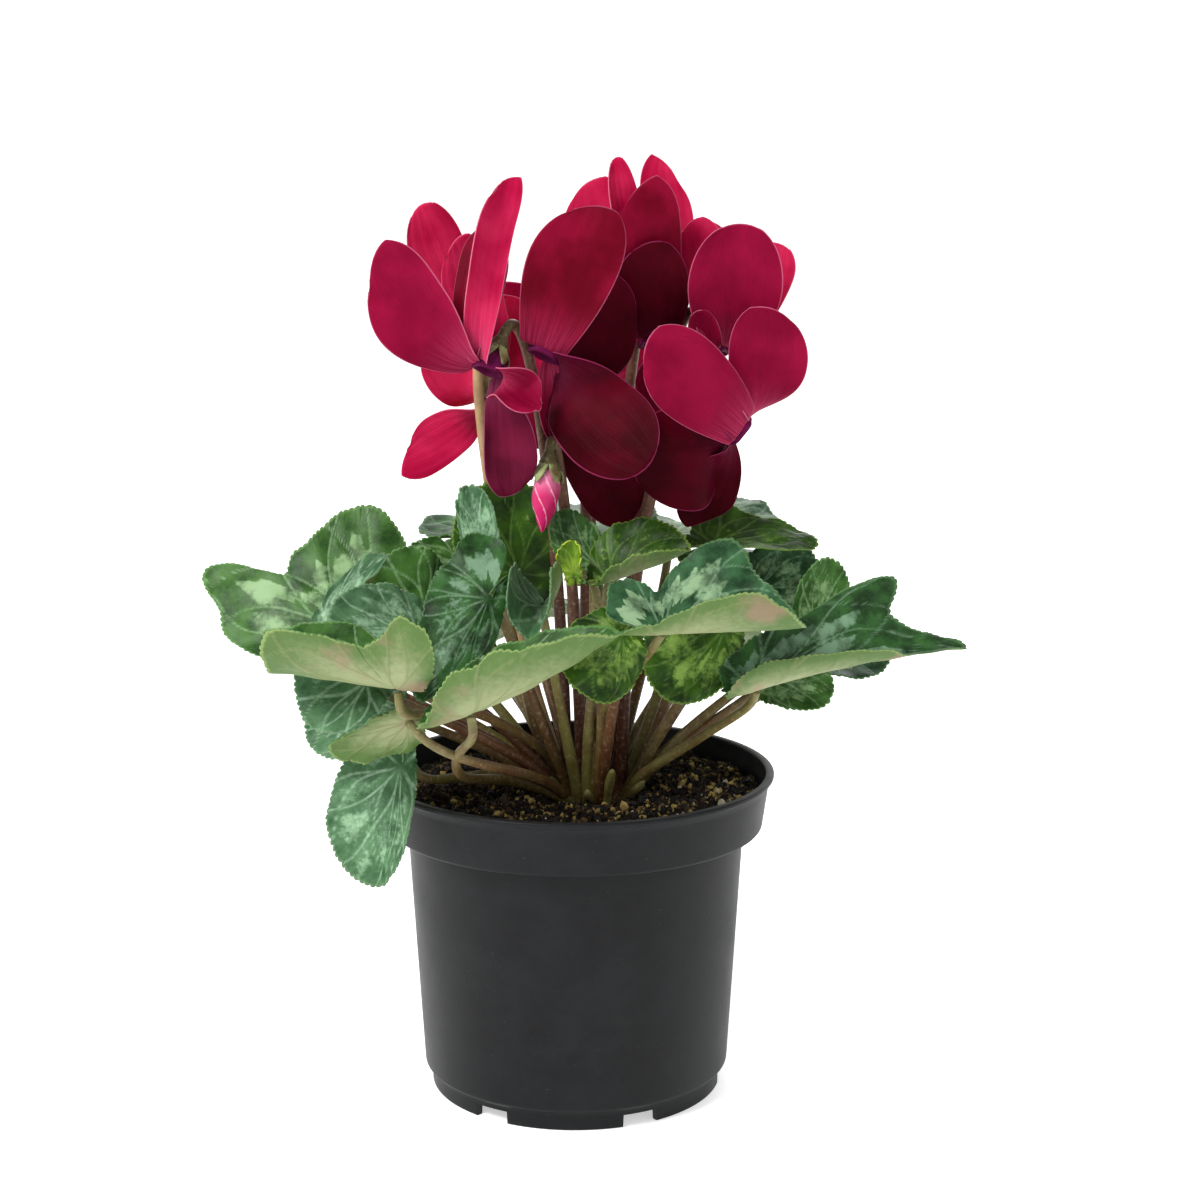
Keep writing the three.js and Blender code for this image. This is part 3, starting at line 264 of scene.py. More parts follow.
        colour_and_painted_light=("teal", 0.5, 0.18, 0.8), wave=(2, 0),
    ),
    "back_right_low": dict(
        base=(38, 52, 142), tip=(58, 80, 128), face=(0.3, 0.5, 0.8), width=22, fold=(5, 10), bend=30,
        colour_and_painted_light=("green", 0.55, 0.16, 0.9), margin=(0.5, 0.8, 1, 1, 1, 0.8, 0.5), lift=(0, 2, -2, 0, 3, -2, 0),
    ),
    "back_right": dict(
        base=(54, 40, 162), tip=(90, 62, 156), face=(0.3, 0.2, 0.9), width=23.5, fold=(10, 5), bend=30,
        colour_and_painted_light=("teal", 0.55, 0.18, 1.0), margin=(0.7, 1, 1, 1, 1, 1, 0.7), lift=(0, 2, -3, 0, 3, -3, 0),
    ),
    "back_upper_left": dict(
        base=(-22, 42, 175), tip=(-48, 70, 177), face=(-0.2, 0.1, 1), width=22, fold=(5, 10), bend=25,
        colour_and_painted_light=("silver", 0.5, 0.2, 0.8), wave=(2, 1),
    ),
    "back_upper_right": dict(
        base=(32, 40, 177), tip=(48, 73, 175), face=(0.1, 0.15, 1), width=22, fold=(10, 5), bend=25,
        colour_and_painted_light=("green", 0.5, 0.2, 0.8), wave=(2, 3),
    ),
}

# ---------- blooms ----------
# throat: middle of the mouth; mouth: where it looks. A petal is its tip, half-width, bulge of the
# midline, cup (degrees from the middle to a margin), the side that the inner face looks to, ruffle,
# colour_and_painted_light (which copy of the crimson it wears: the lighter copies are painted light and
# the darkest copy is painted shade), and how far its base lies behind its neighbour's.
BLOOMS = {
    "front_left": dict(
        throat=(-26, -28, 239), mouth=(-0.35, -0.35, -0.87),
        petals=(
            ((-61, -26, 273), 13.5, 5, 15, (-0.3, -0.9, 0.1), 0.5, "bright", 0),
            ((-25, -14, 281), 9, 3, 20, (-0.4, -0.9, 0), 0.5, "deep", 0),
            ((-20, -22, 297), 7, 7, 35, (0.5, -0.85, 0), 0.3, "pink", 0),
            ((-10, -42, 229), 9, 3, 30, (0.2, -0.5, 0.8), 1.2, "bright", 0),
            ((-19, -30, 201), 9, 2, 40, (0, -1, 0), 1.5, "purple", 0),
        ),
    ),
    "centre": dict(
        throat=(-9.5, -20.5, 243), mouth=(-0.4, -0.3, -0.85),
        petals=(
            ((7, -26, 289), 14, 4, 10, (0, -1, 0.1), 0.3, "deep", 0),
            ((23, -46, 213), 15, 5, 10, (0.1, -0.9, 0.3), 0.3, "shade_painted_crimson", 0),
            ((18, -8, 262), 14, 3, 10, (0, -1, 0), 0.5, "shade_painted_crimson", 0),
            ((20, -8, 192), 13, 4, 10, (0, -1, 0), 0.5, "shade_painted_crimson", 0),
            ((4, -8, 212), 9, 4, 15, (0, -1, 0.2), 0.5, "bright", 0),
        ),
    ),
    "back_left": dict(
        throat=(-25, 16, 226), mouth=(0.3, 0.3, -0.9),
        petals=(
            ((-49, 8, 288), 9.5, 4, 20, (0, -1, 0.1), 0.8, "pink", 0),
            ((-38, 10, 277), 9.5, 3, 20, (0, -1, 0.1), 0.5, "pink", 0),
            ((-47, 14, 243), 9, 3, 15, (0, -1, 0.1), 0.5, "pink", 0),
            ((-56, 12, 206), 8.5, 3, 10, (0, -1, 0.1), 0.5, "pink", 0),
            ((-18, 30, 257), 12, 3, 15, (0, -1, 0.1), 0.5, "pink", 0),
        ),
    ),
    "top": dict(
        throat=(25.5, 10, 244), mouth=(0.1, -0.4, -0.9),
        petals=(
            ((4, 14, 295), 12, 4, 15, (0, -1, 0.1), 0.5, "pink", 0),
            ((13, 2, 303), 5, 1, 40, (0.1, -1, 0.1), 0.3, "pink", 0),
            ((29, 20, 301), 8.5, 3, 5, (0, -1, 0.1), 0.5, "pink", 0),
            ((20, -3, 294), 12, 4, 10, (0, -1, 0.1), 0.3, "deep", 0),
            ((23, -6, 277), 12, 4, 10, (0, -1, 0.1), 0.5, "shade_painted_crimson", 0),
        ),
    ),
    "right_top": dict(
        throat=(44, 0, 241), mouth=(0.3, -0.4, -0.85),
        petals=(
            ((51, -10, 283), 15, 4, 20, (0, -1, 0.1), 0.3, "bright", 0),
            ((65, 10, 276), 8, 3, 15, (0, -1, 0.1), 0.3, "pink", 0),
            ((37, 8, 283), 8, 3, 20, (0, -1, 0.1), 0.5, "pink", 0),
            ((45, 14, 282), 9, 3, 20, (0, -1, 0.1), 0.5, "pink", 0),
            ((38, -12, 256), 5, 2, 20, (0, -1, 0.1), 1, "bright", 0),
        ),
    ),
    "right_low": dict(
        throat=(52, -16, 219), mouth=(0.75, 0.15, -0.6),
        petals=(
            ((22, -34, 248), 13, 5, -10, (0, -1, 0.2), 0.3, "bright", 0),
            ((60, -24, 258), 12.5, 4, -10, (0, -1, 0.2), 0.3, "bright", 1.5),
            ((17, -27, 212), 17, 5, -10, (0, -1, 0.1), 0.3, "shade_painted_crimson", 2.5),
            ((40, -6, 188), 9, -3, 10, (0, -1, 0), 0.5, "shade_painted_crimson", 0),
            ((21, 2, 238), 10, 3, 10, (0, -1, 0), 0.5, "bright", 0),
        ),
    ),
    "back": dict(
        throat=(4, 34, 226), mouth=(-0.1, 0.7, -0.6),
        petals=(
            ((-22, 40, 262), 14, 4, 10, (0, 1, 0.1), 0.5, "bright", 0),
            ((2, 44, 274), 14, 4, 10, (0, 1, 0.1), 0.5, "bright", 0),
            ((30, 44, 258), 14, 4, 10, (0, 1, 0.1), 0.5, "bright", 0),
            ((26, 48, 206), 14, 4, 10, (0, 1, 0.2), 0.5, "bright", 0),
            ((-20, 46, 208), 14, 4, 10, (0, 1, 0.2), 0.5, "bright", 0),
        ),
    ),
}

BUD = dict(top=(-8, -26, 209), tip=(-10, -28, 189))
# where each flower stalk stands in the crown, from the crown's middle
STALK_ROOTS = {
    "front_left": (-9, -1), "centre": (-3, 5), "back_left": (-8, 7), "top": (3, 9),
    "right_top": (8, 7), "right_low": (9, 1), "back": (-3, 11), "bud": (-4, -2),
}

STALK_LEAN = {"back_left": (-26, 6)}  # mm that a flower stalk swings aside low down; others rise straight
PALE_STALKS = {"back_left": 0.9}  # how tan a flower stalk is, 0 to 1; the others are brown-pink
LEAST_ANGLE = 0.5  # degrees that stand for 0, because an arc needs a radius
MIDRIB_CREASE = 0.3  # share of a half's fold that is a crease along the midrib
LOBE_REACH = (0.62, 0.28, 0.1)  # radius over length: mean, first and second harmonic
TIP_WIDTH = 0.18
WIDEST = 0.61
SINUS = (0.88, 0.16)  # depth and width of the notch at the stalk
TOOTH_PITCH = 2.0  # mm between two teeth of a leaf's margin
TOOTH_HEIGHT = 0.75
VEINS = (0, 0.6, -0.6, 1.22, -1.22, 2.0, -2.0)  # radians from the midrib


# ---------- vectors, grids and meshes ----------
def vec(values):
    return np.array(values, dtype=float)


def unit(v):
    return v / np.linalg.norm(v, axis=-1, keepdims=True)


def square_to(v, axis):
    """The part of v that is square to a unit axis, at length 1."""
    return unit(v - np.sum(v * axis, axis=-1, keepdims=True) * axis)


def smooth(low, high, x):
    """0 below low, 1 above high, and the cubic 3s^2 - 2s^3 between them."""
    s = np.clip((x - low) / (high - low), 0, 1)
    return s * s * (3 - 2 * s)


def grid_faces(rows, columns):
    """Quads of a grid that is stored row by row and goes round: the last column meets the first."""
    r, c = np.meshgrid(np.arange(rows - 1), np.arange(columns), indexing="ij")
    a = (r * columns + c).ravel()
    b = (r * columns + (c + 1) % columns).ravel()
    return np.stack([a, b, b + columns, a + columns], axis=1)


def skin(grid):
    """A closed skin over rings of points that go counter-clockwise about the way from the first ring to
    the last: quads between rings, and a fan from the middle of each end ring."""
    rows, columns = grid.shape[:2]
    i = np.arange(columns)
    j = (i + 1) % columns
    pole, last = rows * columns, (rows - 1) * columns
    first_fan = np.stack([0 * i + pole, j, i], axis=1)
    last_fan = np.stack([0 * i + pole + 1, last + i, last + j], axis=1)
    return skin_values(grid), [grid_faces(rows, columns), first_fan, last_fan]


def skin_values(grid):
    """One row for each point of a skin: the grid's, and then the means of its first and last ring."""
    ends = (grid[i].mean(axis=0)[None] for i in (0, -1))
    return np.concatenate([grid.reshape(-1, grid.shape[-1]), *ends])


def sheet_faces(rows, size):
    """Faces of a thin sheet whose rows each go out along one face and back along the other: quads from
    row to row, and quads that close the first and the last row."""
    k = np.arange(size // 2 - 1)
    cap = np.stack([k, k + 1, size - 2 - k, size - 1 - k], axis=1)
    return [grid_faces(rows, size), cap[:, ::-1], cap + (rows - 1) * size]


def round_grid(radius, angle, height, axis=(0, 0)):
    """Points at a radius, an angle and a height about an upright axis."""
    x, y = axis[0] + radius * np.cos(angle), axis[1] + radius * np.sin(angle)
    return np.stack(np.broadcast_arrays(x, y, height), axis=-1)


def normals_of(grid, closed):
    """Unit normals of a grid: the step along its rows across the step from row to row."""
    across = (np.roll(grid, -1, axis=1) - np.roll(grid, 1, axis=1)) if closed else np.gradient(grid, axis=1)
    return unit(np.cross(across, np.gradient(grid, axis=0)))


def mesh_object(name, parts, materials, flat=False):
    """One mesh in metres from parts in mm, each a dict of points, faces (a list of arrays), slot (one
    material number, or one a face) and marks (three numbers a point, which the materials read)."""
    points = np.concatenate([p["points"] for p in parts])
    starts = np.cumsum([0] + [len(p["points"]) for p in parts[:-1]])
    faces = [f + start for p, start in zip(parts, starts) for f in p["faces"]]
    slots = np.concatenate([np.zeros(sum(map(len, p["faces"])), int) + p.get("slot", 0) for p in parts])
    marks = np.concatenate([p.get("marks", np.zeros((len(p["points"]), 3))) for p in parts])
    loops = np.concatenate([f.ravel() for f in faces])
    sizes = np.concatenate([np.full(len(f), f.shape[1]) for f in faces])
    mesh = bpy.data.meshes.new(name)
    mesh.vertices.add(len(points))
    mesh.vertices.foreach_set("co", (points * MM).ravel())
    mesh.loops.add(len(loops))
    mesh.loops.foreach_set("vertex_index", loops)
    mesh.polygons.add(len(sizes))
    mesh.polygons.foreach_set("loop_start", np.concatenate([[0], np.cumsum(sizes)[:-1]]))
    for material in materials:
        mesh.materials.append(material)
    mesh.polygons.foreach_set("material_index", slots)
    mesh.polygons.foreach_set("use_smooth", np.full(len(sizes), not flat))
    mesh.update(calc_edges=True)
    mesh.attributes.new("mark", "FLOAT_VECTOR", "POINT").data.foreach_set("vector", marks.ravel())
    mesh.validate()
    piece = bpy.data.objects.new(name, mesh)
    bpy.context.collection.objects.link(piece)
    return piece


def outwards(piece):
    """Merges a mesh's doubles and turns its faces outwards."""
    shell = bmesh.new()
    shell.from_mesh(piece.data)
    bmesh.ops.remove_doubles(shell, verts=shell.verts, dist=1e-6)
    bmesh.ops.recalc_face_normals(shell, faces=shell.faces)
    shell.to_mesh(piece.data)
    shell.free()


def on_root(piece, node):
    """Declares a finished piece: it moves with the one body and stands for its node."""
    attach(piece, "root")
    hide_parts(node)


# ---------- curves and tubes ----------
def bezier(points, t):
    """A cubic Bezier's places and its unit directions at t."""
    a, b, c, d = (vec(p) for p in points)
    t = np.asarray(t, dtype=float)[..., None]
    s = 1 - t
    place = s**3 * a + 3 * s**2 * t * b + 3 * s * t**2 * c + t**3 * d
    return place, unit(s**2 * (b - a) + 2 * s * t * (c - b) + t**2 * (d - c))


def passing(points, steps):
    """A centripetal Catmull-Rom curve through points: each stretch is a cubic Hermite curve whose end
    speeds come from the square roots of the distances on either side."""
    points = [vec(p) for p in points]
    points = [2 * points[0] - points[1], *points, 2 * points[-1] - points[-2]]
    t = np.linspace(0, 1, steps, endpoint=False)[:, None]
    out = []
    for a, b, c, d in zip(points, points[1:], points[2:], points[3:]):
        before, here, after = (math.sqrt(np.linalg.norm(q - p)) for p, q in ((a, b), (b, c), (c, d)))
        leave = ((b - a) / before - (c - a) / (before + here) + (c - b) / here) * here
        arrive = ((c - b) / here - (d - b) / (here + after) + (d - c) / after) * here
        cubic = 2 * (b - c) + leave + arrive
        out.append(b + leave * t + (3 * (c - b) - 2 * leave - arrive) * t**2 + cubic * t**3)
    return np.concatenate([*out, points[-2][None]])


def tube(path, radii, sides, tint):
    """A round stalk: rings square to a path, starting from one plane's side so that they don't twist.
    The marks are the way along, the tint and the way round."""
    ahead = unit(np.gradient(path, axis=0))
    out = square_to(np.broadcast_to(np.cross(path[-1] - path[0], (0.013, 0.021, 1)), ahead.shape), ahead)
    side = np.cross(ahead, out)
    angle = np.linspace(0, 2 * np.pi, sides, endpoint=False)[None, :, None]
    spoke = np.cos(angle) * out[:, None] + np.sin(angle) * side[:, None]
    grid = path[:, None] + np.asarray(radii)[:, None, None] * spoke
    along = np.broadcast_to(np.linspace(0, 1, len(path))[:, None], grid.shape[:2])
    points, faces = skin(grid)
    marks = np.stack([along, np.full_like(along, tint), np.broadcast_to(angle[..., 0], along.shape)], axis=-1)
    return dict(points=points, faces=faces, marks=skin_values(marks))


def lathe(profile, sides, axis=(0, 0), lobes=0.0, count=5):
    """A profile of radius and height carried round an upright axis, from its foot up; lobes is how far
    the radius swells and shrinks, count times a turn."""
    profile = vec(profile)
    angle = np.linspace(0, 2 * np.pi, sides, endpoint=False)[None]
    return round_grid(profile[:, :1] * (1 + lobes * np.cos(count * angle)), angle, profile[:, 1:], axis)


def laid(grid, place, direction):
    """Turns a grid that was made about +Z so that +Z is a direction, and moves it to a place."""
    direction = unit(vec(direction))
    side = unit(np.cross((0.3, 0.9, 0.1), direction))
    other = np.cross(direction, side)
    return vec(place) + grid[..., :1] * side + grid[..., 1:2] * other + grid[..., 2:] * direction


# ---------- materials ----------
def linear(hex_colour):
    """An sRGB hex colour as linear red, green, blue and full alpha."""
    parts = [int(hex_colour[i : i + 2], 16) / 255 for i in (1, 3, 5)]
    return (*(p / 12.92 if p <= 0.04045 else ((p + 0.055) / 1.055) ** 2.4 for p in parts), 1.0)


def add(tree, kind, inputs, output=0, **settings):
    """Adds a shader node with its settings. An input that is another node's output is linked, a hex
    colour is made linear, and anything else is set. Gives the output that is asked for."""
    made = tree.nodes.new("ShaderNode" + kind)
    for name, value in settings.items():
        setattr(made, name, value)
    for name, value in inputs.items():
        if isinstance(value, bpy.types.NodeSocket):
            tree.links.new(value, made.inputs[name])
        else:
            made.inputs[name].default_value = linear(value) if isinstance(value, str) else value
    return made.outputs[output]


def new_material(name, values, linked=None):
    """A material with its shader's own values; linked is a function that gets the node tree and gives
    the sockets that feed the shader."""
    material = bpy.data.materials.new(name)
    material.use_nodes = True
    tree = material.node_tree
    shader = tree.nodes["Principled BSDF"]
    for socket, value in values.items():
        shader.inputs[socket].default_value = linear(value) if isinstance(value, str) else value
    for socket, source in (linked(tree) if linked else {}).items():
        tree.links.new(source, shader.inputs[socket])
    return material


# Sockets that go by number. MapRange: 0 the value, 1 and 2 the range that it is in, 3 and 4 the range
# that it is brought to. Mix of colours: 0 the share of the second, 6 and 7 the two. Math: 0, 1 and 2.
STEP = dict(interpolation_type="SMOOTHSTEP")
COLOUR = dict(data_type="RGBA")


def marks_of(tree):
    """The three numbers that the mesh carries at each point."""
    mark = add(tree, "Attribute", {}, "Vector", attribute_name="mark")
    return add(tree, "SeparateXYZ", {0: mark}).node.outputs


def layered(tree, ground, *layers):
    """Lays colours over a ground. A layer is (what shows it, the two values between which it comes in,
    its share below and above them, its colour)."""
    for source, low, high, least, most, colour in layers:
        share = add(tree, "MapRange", {0: source, 1: low, 2: high, 3: least, 4: most}, **STEP)
        ground = add(tree, "Mix", {0: share, 6: ground, 7: colour}, 2, **COLOUR)
    return ground


def leaf_material(look, dark, green, silvery, vein, edge, gloss, vein_show):
    """The upper face of a leaf: a waxy cuticle that reflects softly, dark green between paler veins,
    marbled at mid reach in silver by air pockets under the skin, with a fine pale margin. The marks
    give the veins, the marbling and the reach from the stalk."""

    def linked(tree):
        veins, marbling, reach = marks_of(tree)
        where = add(tree, "TexCoord", {}, "Object")
        # blotches 7 mm across, the marbling's feathered edge, and skin cells, drawn coarse enough to show
        cloud = add(tree, "TexNoise", {"Vector": where, "Scale": 1000 / 7, "Detail": 4, "Roughness": 0.6})
        feather = {"Vector": where, "Scale": 1000 / 1.9, "Detail": 5, "Roughness": 0.72}
        feather = add(tree, "TexNoise", feather)
        grain = add(tree, "TexNoise", {"Vector": where, "Scale": 1000 / 0.6, "Detail": 2, "Roughness": 0.5})
        # the net of small veins, 4.5 mm across a mesh
        net = {"Vector": where, "Scale": 1000 / 4.5}
        net = add(tree, "TexVoronoi", net, "Distance", feature="DISTANCE_TO_EDGE")
        ground = layered(tree, dark, (cloud, 0.3, 0.7, 0, 1, green))
        ragged = add(tree, "Math", {0: feather, 1: 0.95, 2: marbling}, operation="MULTIPLY_ADD")
        silver = add(tree, "MapRange", {0: ragged, 1: 0.72, 2: 1.02}, **STEP)
        haze = add(tree, "MapRange", {0: cloud, 1: 0.35, 2: 0.62, 3: 0.2, 4: 0.95}, **STEP)
        silver = add(tree, "Math", {0: silver, 1: haze}, operation="MULTIPLY")
        ground = add(tree, "Mix", {0: silver, 6: ground, 7: silvery}, 2, **COLOUR)
        net = add(tree, "MapRange", {0: net, 1: 0.0, 2: 0.06, 3: 0.1, 4: 0.0}, **STEP)
        lines = add(tree, "Math", {0: veins, 1: net}, operation="MAXIMUM")
        faint = {0: feather, 1: 0.3, 2: 0.62, 3: 0.25 * vein_show, 4: vein_show}
        faint = add(tree, "MapRange", faint, **STEP)
        faint = add(tree, "Math", {0: lines, 1: faint}, operation="MULTIPLY")
        ground = add(tree, "Mix", {0: faint, 6: ground, 7: vein}, 2, **COLOUR)
        ground = layered(tree, ground, (reach, 0.965, 0.99, 0, 0.7, edge))
        height = add(tree, "Math", {0: grain, 1: 0.5, 2: lines}, operation="MULTIPLY_ADD")
        normal = add(tree, "Bump", {"Height": height, "Distance": 0.25 * MM, "Strength": 0.5})
        rough = add(tree, "MapRange", {0: grain, 3: gloss - 0.08, 4: gloss + 0.12})
        return {"Base Color": ground, "Normal": normal, "Roughness": rough}

    return new_material("leaf cuticle, " + look, {"IOR": 1.45, "Specular IOR Level": 0.28}, linked)


def underside_material(name, pale, green, flush, vein, edge):
    """The under face of a leaf: matt and pale, greener and streaked towards the margin, flushed pink in
    patches, with veins that stand out."""

    def linked(tree):
        veins, _, reach = marks_of(tree)
        where = add(tree, "TexCoord", {}, "Object")
        patch = add(tree, "TexNoise", {"Vector": where, "Scale": 1000 / 20, "Detail": 3, "Roughness": 0.55})
        streak = add(tree, "TexNoise", {"Vector": where, "Scale": 1000 / 2.4, "Detail": 4, "Roughness": 0.65})
        tone = add(tree, "Math", {0: streak, 1: 0.55, 2: reach}, operation="MULTIPLY_ADD")
        layers = (tone, 0.5, 1.22, 0, 1, green), (patch, 0.54, 0.72, 0, 0.7, flush)
        ground = layered(tree, pale, *layers)
        share = add(tree, "Math", {0: veins, 1: 0.55}, operation="MULTIPLY")
        ground = add(tree, "Mix", {0: share, 6: ground, 7: vein}, 2, **COLOUR)
        ground = layered(tree, ground, (reach, 0.962, 0.99, 0, 1, edge))
        height = add(tree, "Math", {0: veins, 1: streak}, operation="ADD")
        normal = add(tree, "Bump", {"Height": height, "Distance": 0.25 * MM, "Strength": 0.5})
        return {"Base Color": ground, "Normal": normal}

    return new_material(name, {"Roughness": 0.6, "IOR": 1.4}, linked)


def petal_material(name, deep, bright, base, edge, glow):
    """A petal: soft cells that let some light through and give a velvet sheen; fine lines run along it,
    its base is paler pink and its very edge a thin light line. The marks give the way across, the way
    along and the nearness of the edge."""

    def linked(tree):
        across, along, rim = marks_of(tree)
        where = add(tree, "TexCoord", {}, "Object")
        # broad shades, and the velvet's cells, drawn coarse enough to show
        cloud = add(tree, "TexNoise", {"Vector": where, "Scale": 1000 / 16, "Detail": 3, "Roughness": 0.5})
        grain = add(tree, "TexNoise", {"Vector": where, "Scale": 1000 / 0.8, "Detail": 2, "Roughness": 0.5})
        # lines about 0.5 mm apart, far longer than wide
        wide = add(tree, "Math", {0: across, 1: 30.0}, operation="MULTIPLY")
        long = add(tree, "Math", {0: along, 1: 1.8}, operation="MULTIPLY")
        at = add(tree, "CombineXYZ", {0: wide, 1: long})
        lines = add(tree, "TexNoise", {"Vector": at, "Scale": 1.0, "Detail": 3.0, "Roughness": 0.6})
        ground = layered(tree, deep, (cloud, 0.32, 0.68, 0, 1, bright))
        low = add(tree, "MapRange", {0: along, 1: 0.1, 2: 0.55, 3: 0.85, 4: 0.0}, **STEP)
        striped = add(tree, "MapRange", {0: lines, 1: 0.38, 2: 0.62, 3: 0.15, 4: 1.0}, **STEP)
        striped = add(tree, "Math", {0: striped, 1: low}, operation="MULTIPLY")
        ground = add(tree, "Mix", {0: striped, 6: ground, 7: base}, 2, **COLOUR)
        ground = layered(tree, ground, (rim, 0.972, 0.996, 0, 0.7, edge))
        height = add(tree, "Math", {0: grain, 1: 0.3, 2: lines}, operation="MULTIPLY_ADD")
        normal = add(tree, "Bump", {"Height": height, "Distance": 0.35 * MM, "Strength": 0.5})
        return {"Base Color": ground, "Normal": normal}

    values = {
        "Roughness": 0.5, "IOR": 1.4, "Specular IOR Level": 0.05,
        "Sheen Weight": 0.03, "Sheen Roughness": 0.35, "Sheen Tint": "#f0306a",
        "Subsurface Weight": glow, "Subsurface Scale": 2 * MM, "Subsurface Radius": (1.0, 0.1, 0.2),
    }
    return new_material(name, values, linked)


def stalk_material(name, root, middle, end, pale):
    """A fleshy stalk: smooth and slightly glossy, brown-pink at the crown and greener at its end, with
    pale flecks. The marks give the way along and a tint of its own."""

    def linked(tree):
        along, tint, _ = marks_of(tree)
        where = add(tree, "TexCoord", {}, "Object")
        flecks = add(tree, "TexNoise", {"Vector": where, "Scale": 1000 / 1.4, "Detail": 4, "Roughness": 0.6})
        patch = add(tree, "TexNoise", {"Vector": where, "Scale": 1000 / 9, "Detail": 3, "Roughness": 0.5})
        ground = layered(tree, root, (along, 0, 0.5, 0, 1, middle), (along, 0.45, 1, 0, 1, end))
        ground = add(tree, "Mix", {0: tint, 6: ground, 7: pale}, 2, **COLOUR)
        layers = (patch, 0.42, 0.7, 0, 0.5, root), (flecks, 0.5, 0.75, 0, 0.3, "#cdb496")
        ground = layered(tree, ground, *layers)
        normal = add(tree, "Bump", {"Height": flecks, "Distance": 0.2 * MM, "Strength": 0.5})
        return {"Base Color": ground, "Normal": normal}

    return new_material(name, {"Roughness": 0.4, "IOR": 1.42, "Specular IOR Level": 0.35}, linked)


def pot_material():
    """Moulded polypropylene, charcoal: a half-matt face with fine pale flecks and dust, and faint flow
    lines round it."""

    def linked(tree):
        where = add(tree, "TexCoord", {}, "Object")
        fleck = add(tree, "TexNoise", {"Vector": where, "Scale": 1000 / 0.6, "Detail": 2, "Roughness": 0.6})
        dust = add(tree, "TexNoise", {"Vector": where, "Scale": 1000 / 16, "Detail": 4, "Roughness": 0.6})
        flat = add(tree, "Mapping", {"Vector": where, "Scale": (0.15, 0.15, 3.0)})
        rings = add(tree, "TexNoise", {"Vector": flat, "Scale": 1000 / 4, "Detail": 3, "Roughness": 0.6})
        layers = (dust, 0.3, 0.75, 0, 1, "#191b1c"), (fleck, 0.7, 0.78, 0, 0.25, "#7c7f80")
        ground = layered(tree, "#101113", *layers)
        rough = add(tree, "MapRange", {0: dust, 3: 0.34, 4: 0.56})
        height = add(tree, "Math", {0: rings, 1: fleck}, operation="ADD")
        normal = add(tree, "Bump", {"Height": height, "Distance": 0.1 * MM, "Strength": 0.35})
        return {"Base Color": ground, "Roughness": rough, "Normal": normal}

    return new_material("moulded polypropylene", {"IOR": 1.49, "Specular IOR Level": 0.17}, linked)


def soil_material():
    """Moist peat: near-black fibres with tan bits of bark and coir dust, in drifts."""

    def linked(tree):
        where = add(tree, "TexCoord", {}, "Object")
        crumb = add(tree, "TexNoise", {"Vector": where, "Scale": 1000 / 1.8, "Detail": 5, "Roughness": 0.7})
        patch = add(tree, "TexNoise", {"Vector": where, "Scale": 1000 / 18, "Detail": 3, "Roughness": 0.5})
        cells = add(tree, "TexVoronoi", {"Vector": where, "Scale": 1000 / 1.3}, "Color")
        pick = add(tree, "SeparateXYZ", {0: cells})
        ground = layered(tree, "#060403", (crumb, 0.35, 0.7, 0, 1, "#241910"))
        light = add(tree, "MapRange", {0: pick, 1: 0.78, 2: 0.86}, **STEP)
        light = add(tree, "Math", {0: light, 1: patch}, operation="MULTIPLY")
        ground = add(tree, "Mix", {0: light, 6: ground, 7: "#93794c"}, 2, **COLOUR)
        normal = add(tree, "Bump", {"Height": crumb, "Distance": 1.2 * MM, "Strength": 0.8})
        return {"Base Color": ground, "Normal": normal}

    return new_material("peat potting soil", {"Roughness": 0.85, "IOR": 1.35}, linked)


def crumb_material():
    """Loose bits on the soil: peat, bark, coir and a little perlite. The first mark picks which."""

    def linked(tree):
        pick = marks_of(tree)[0]
        bits = (0.4, 0.55, "#3a2a1a"), (0.68, 0.76, "#a48c50"), (0.95, 0.98, "#d9cfb6")
        ground = layered(tree, "#0c0806", *((pick, low, high, 0, 1, colour) for low, high, colour in bits))
        return {"Base Color": ground}

    return new_material("soil crumbs", {"Roughness": 0.8, "IOR": 1.4}, linked)


def bud_material():
    """Furled petals, hot pink, with a white line where each one's edge lies on the next."""

    def linked(tree):
        ridge, along, _ = marks_of(tree)
        layers = (along, 0, 0.5, 0, 1, "#cc1464"), (ridge, 0.84, 0.97, 0, 1, "#f6c6d8")
        return {"Base Color": layered(tree, "#e88ab0", *layers)}

    values = {"Roughness": 0.4, "IOR": 1.4, "Subsurface Weight": 0.15, "Subsurface Scale": 1 * MM}
    return new_material("furled bud", values, linked)


def sepal_material():
    """Sepals: dull green flushed brown, with small dark dots."""

    def linked(tree):
        where = add(tree, "TexCoord", {}, "Object")
        dots = add(tree, "TexNoise", {"Vector": where, "Scale": 1000 / 0.9, "Detail": 3, "Roughness": 0.6})
        patch = add(tree, "TexNoise", {"Vector": where, "Scale": 1000 / 4, "Detail": 3, "Roughness": 0.5})
        layers = (patch, 0.35, 0.65, 0, 1, "#6d5a3a"), (dots, 0.58, 0.68, 0, 0.6, "#3a2c1c")
        return {"Base Color": layered(tree, "#8f9a63", *layers)}

    return new_material("sepal", {"Roughness": 0.55, "IOR": 1.4}, linked)


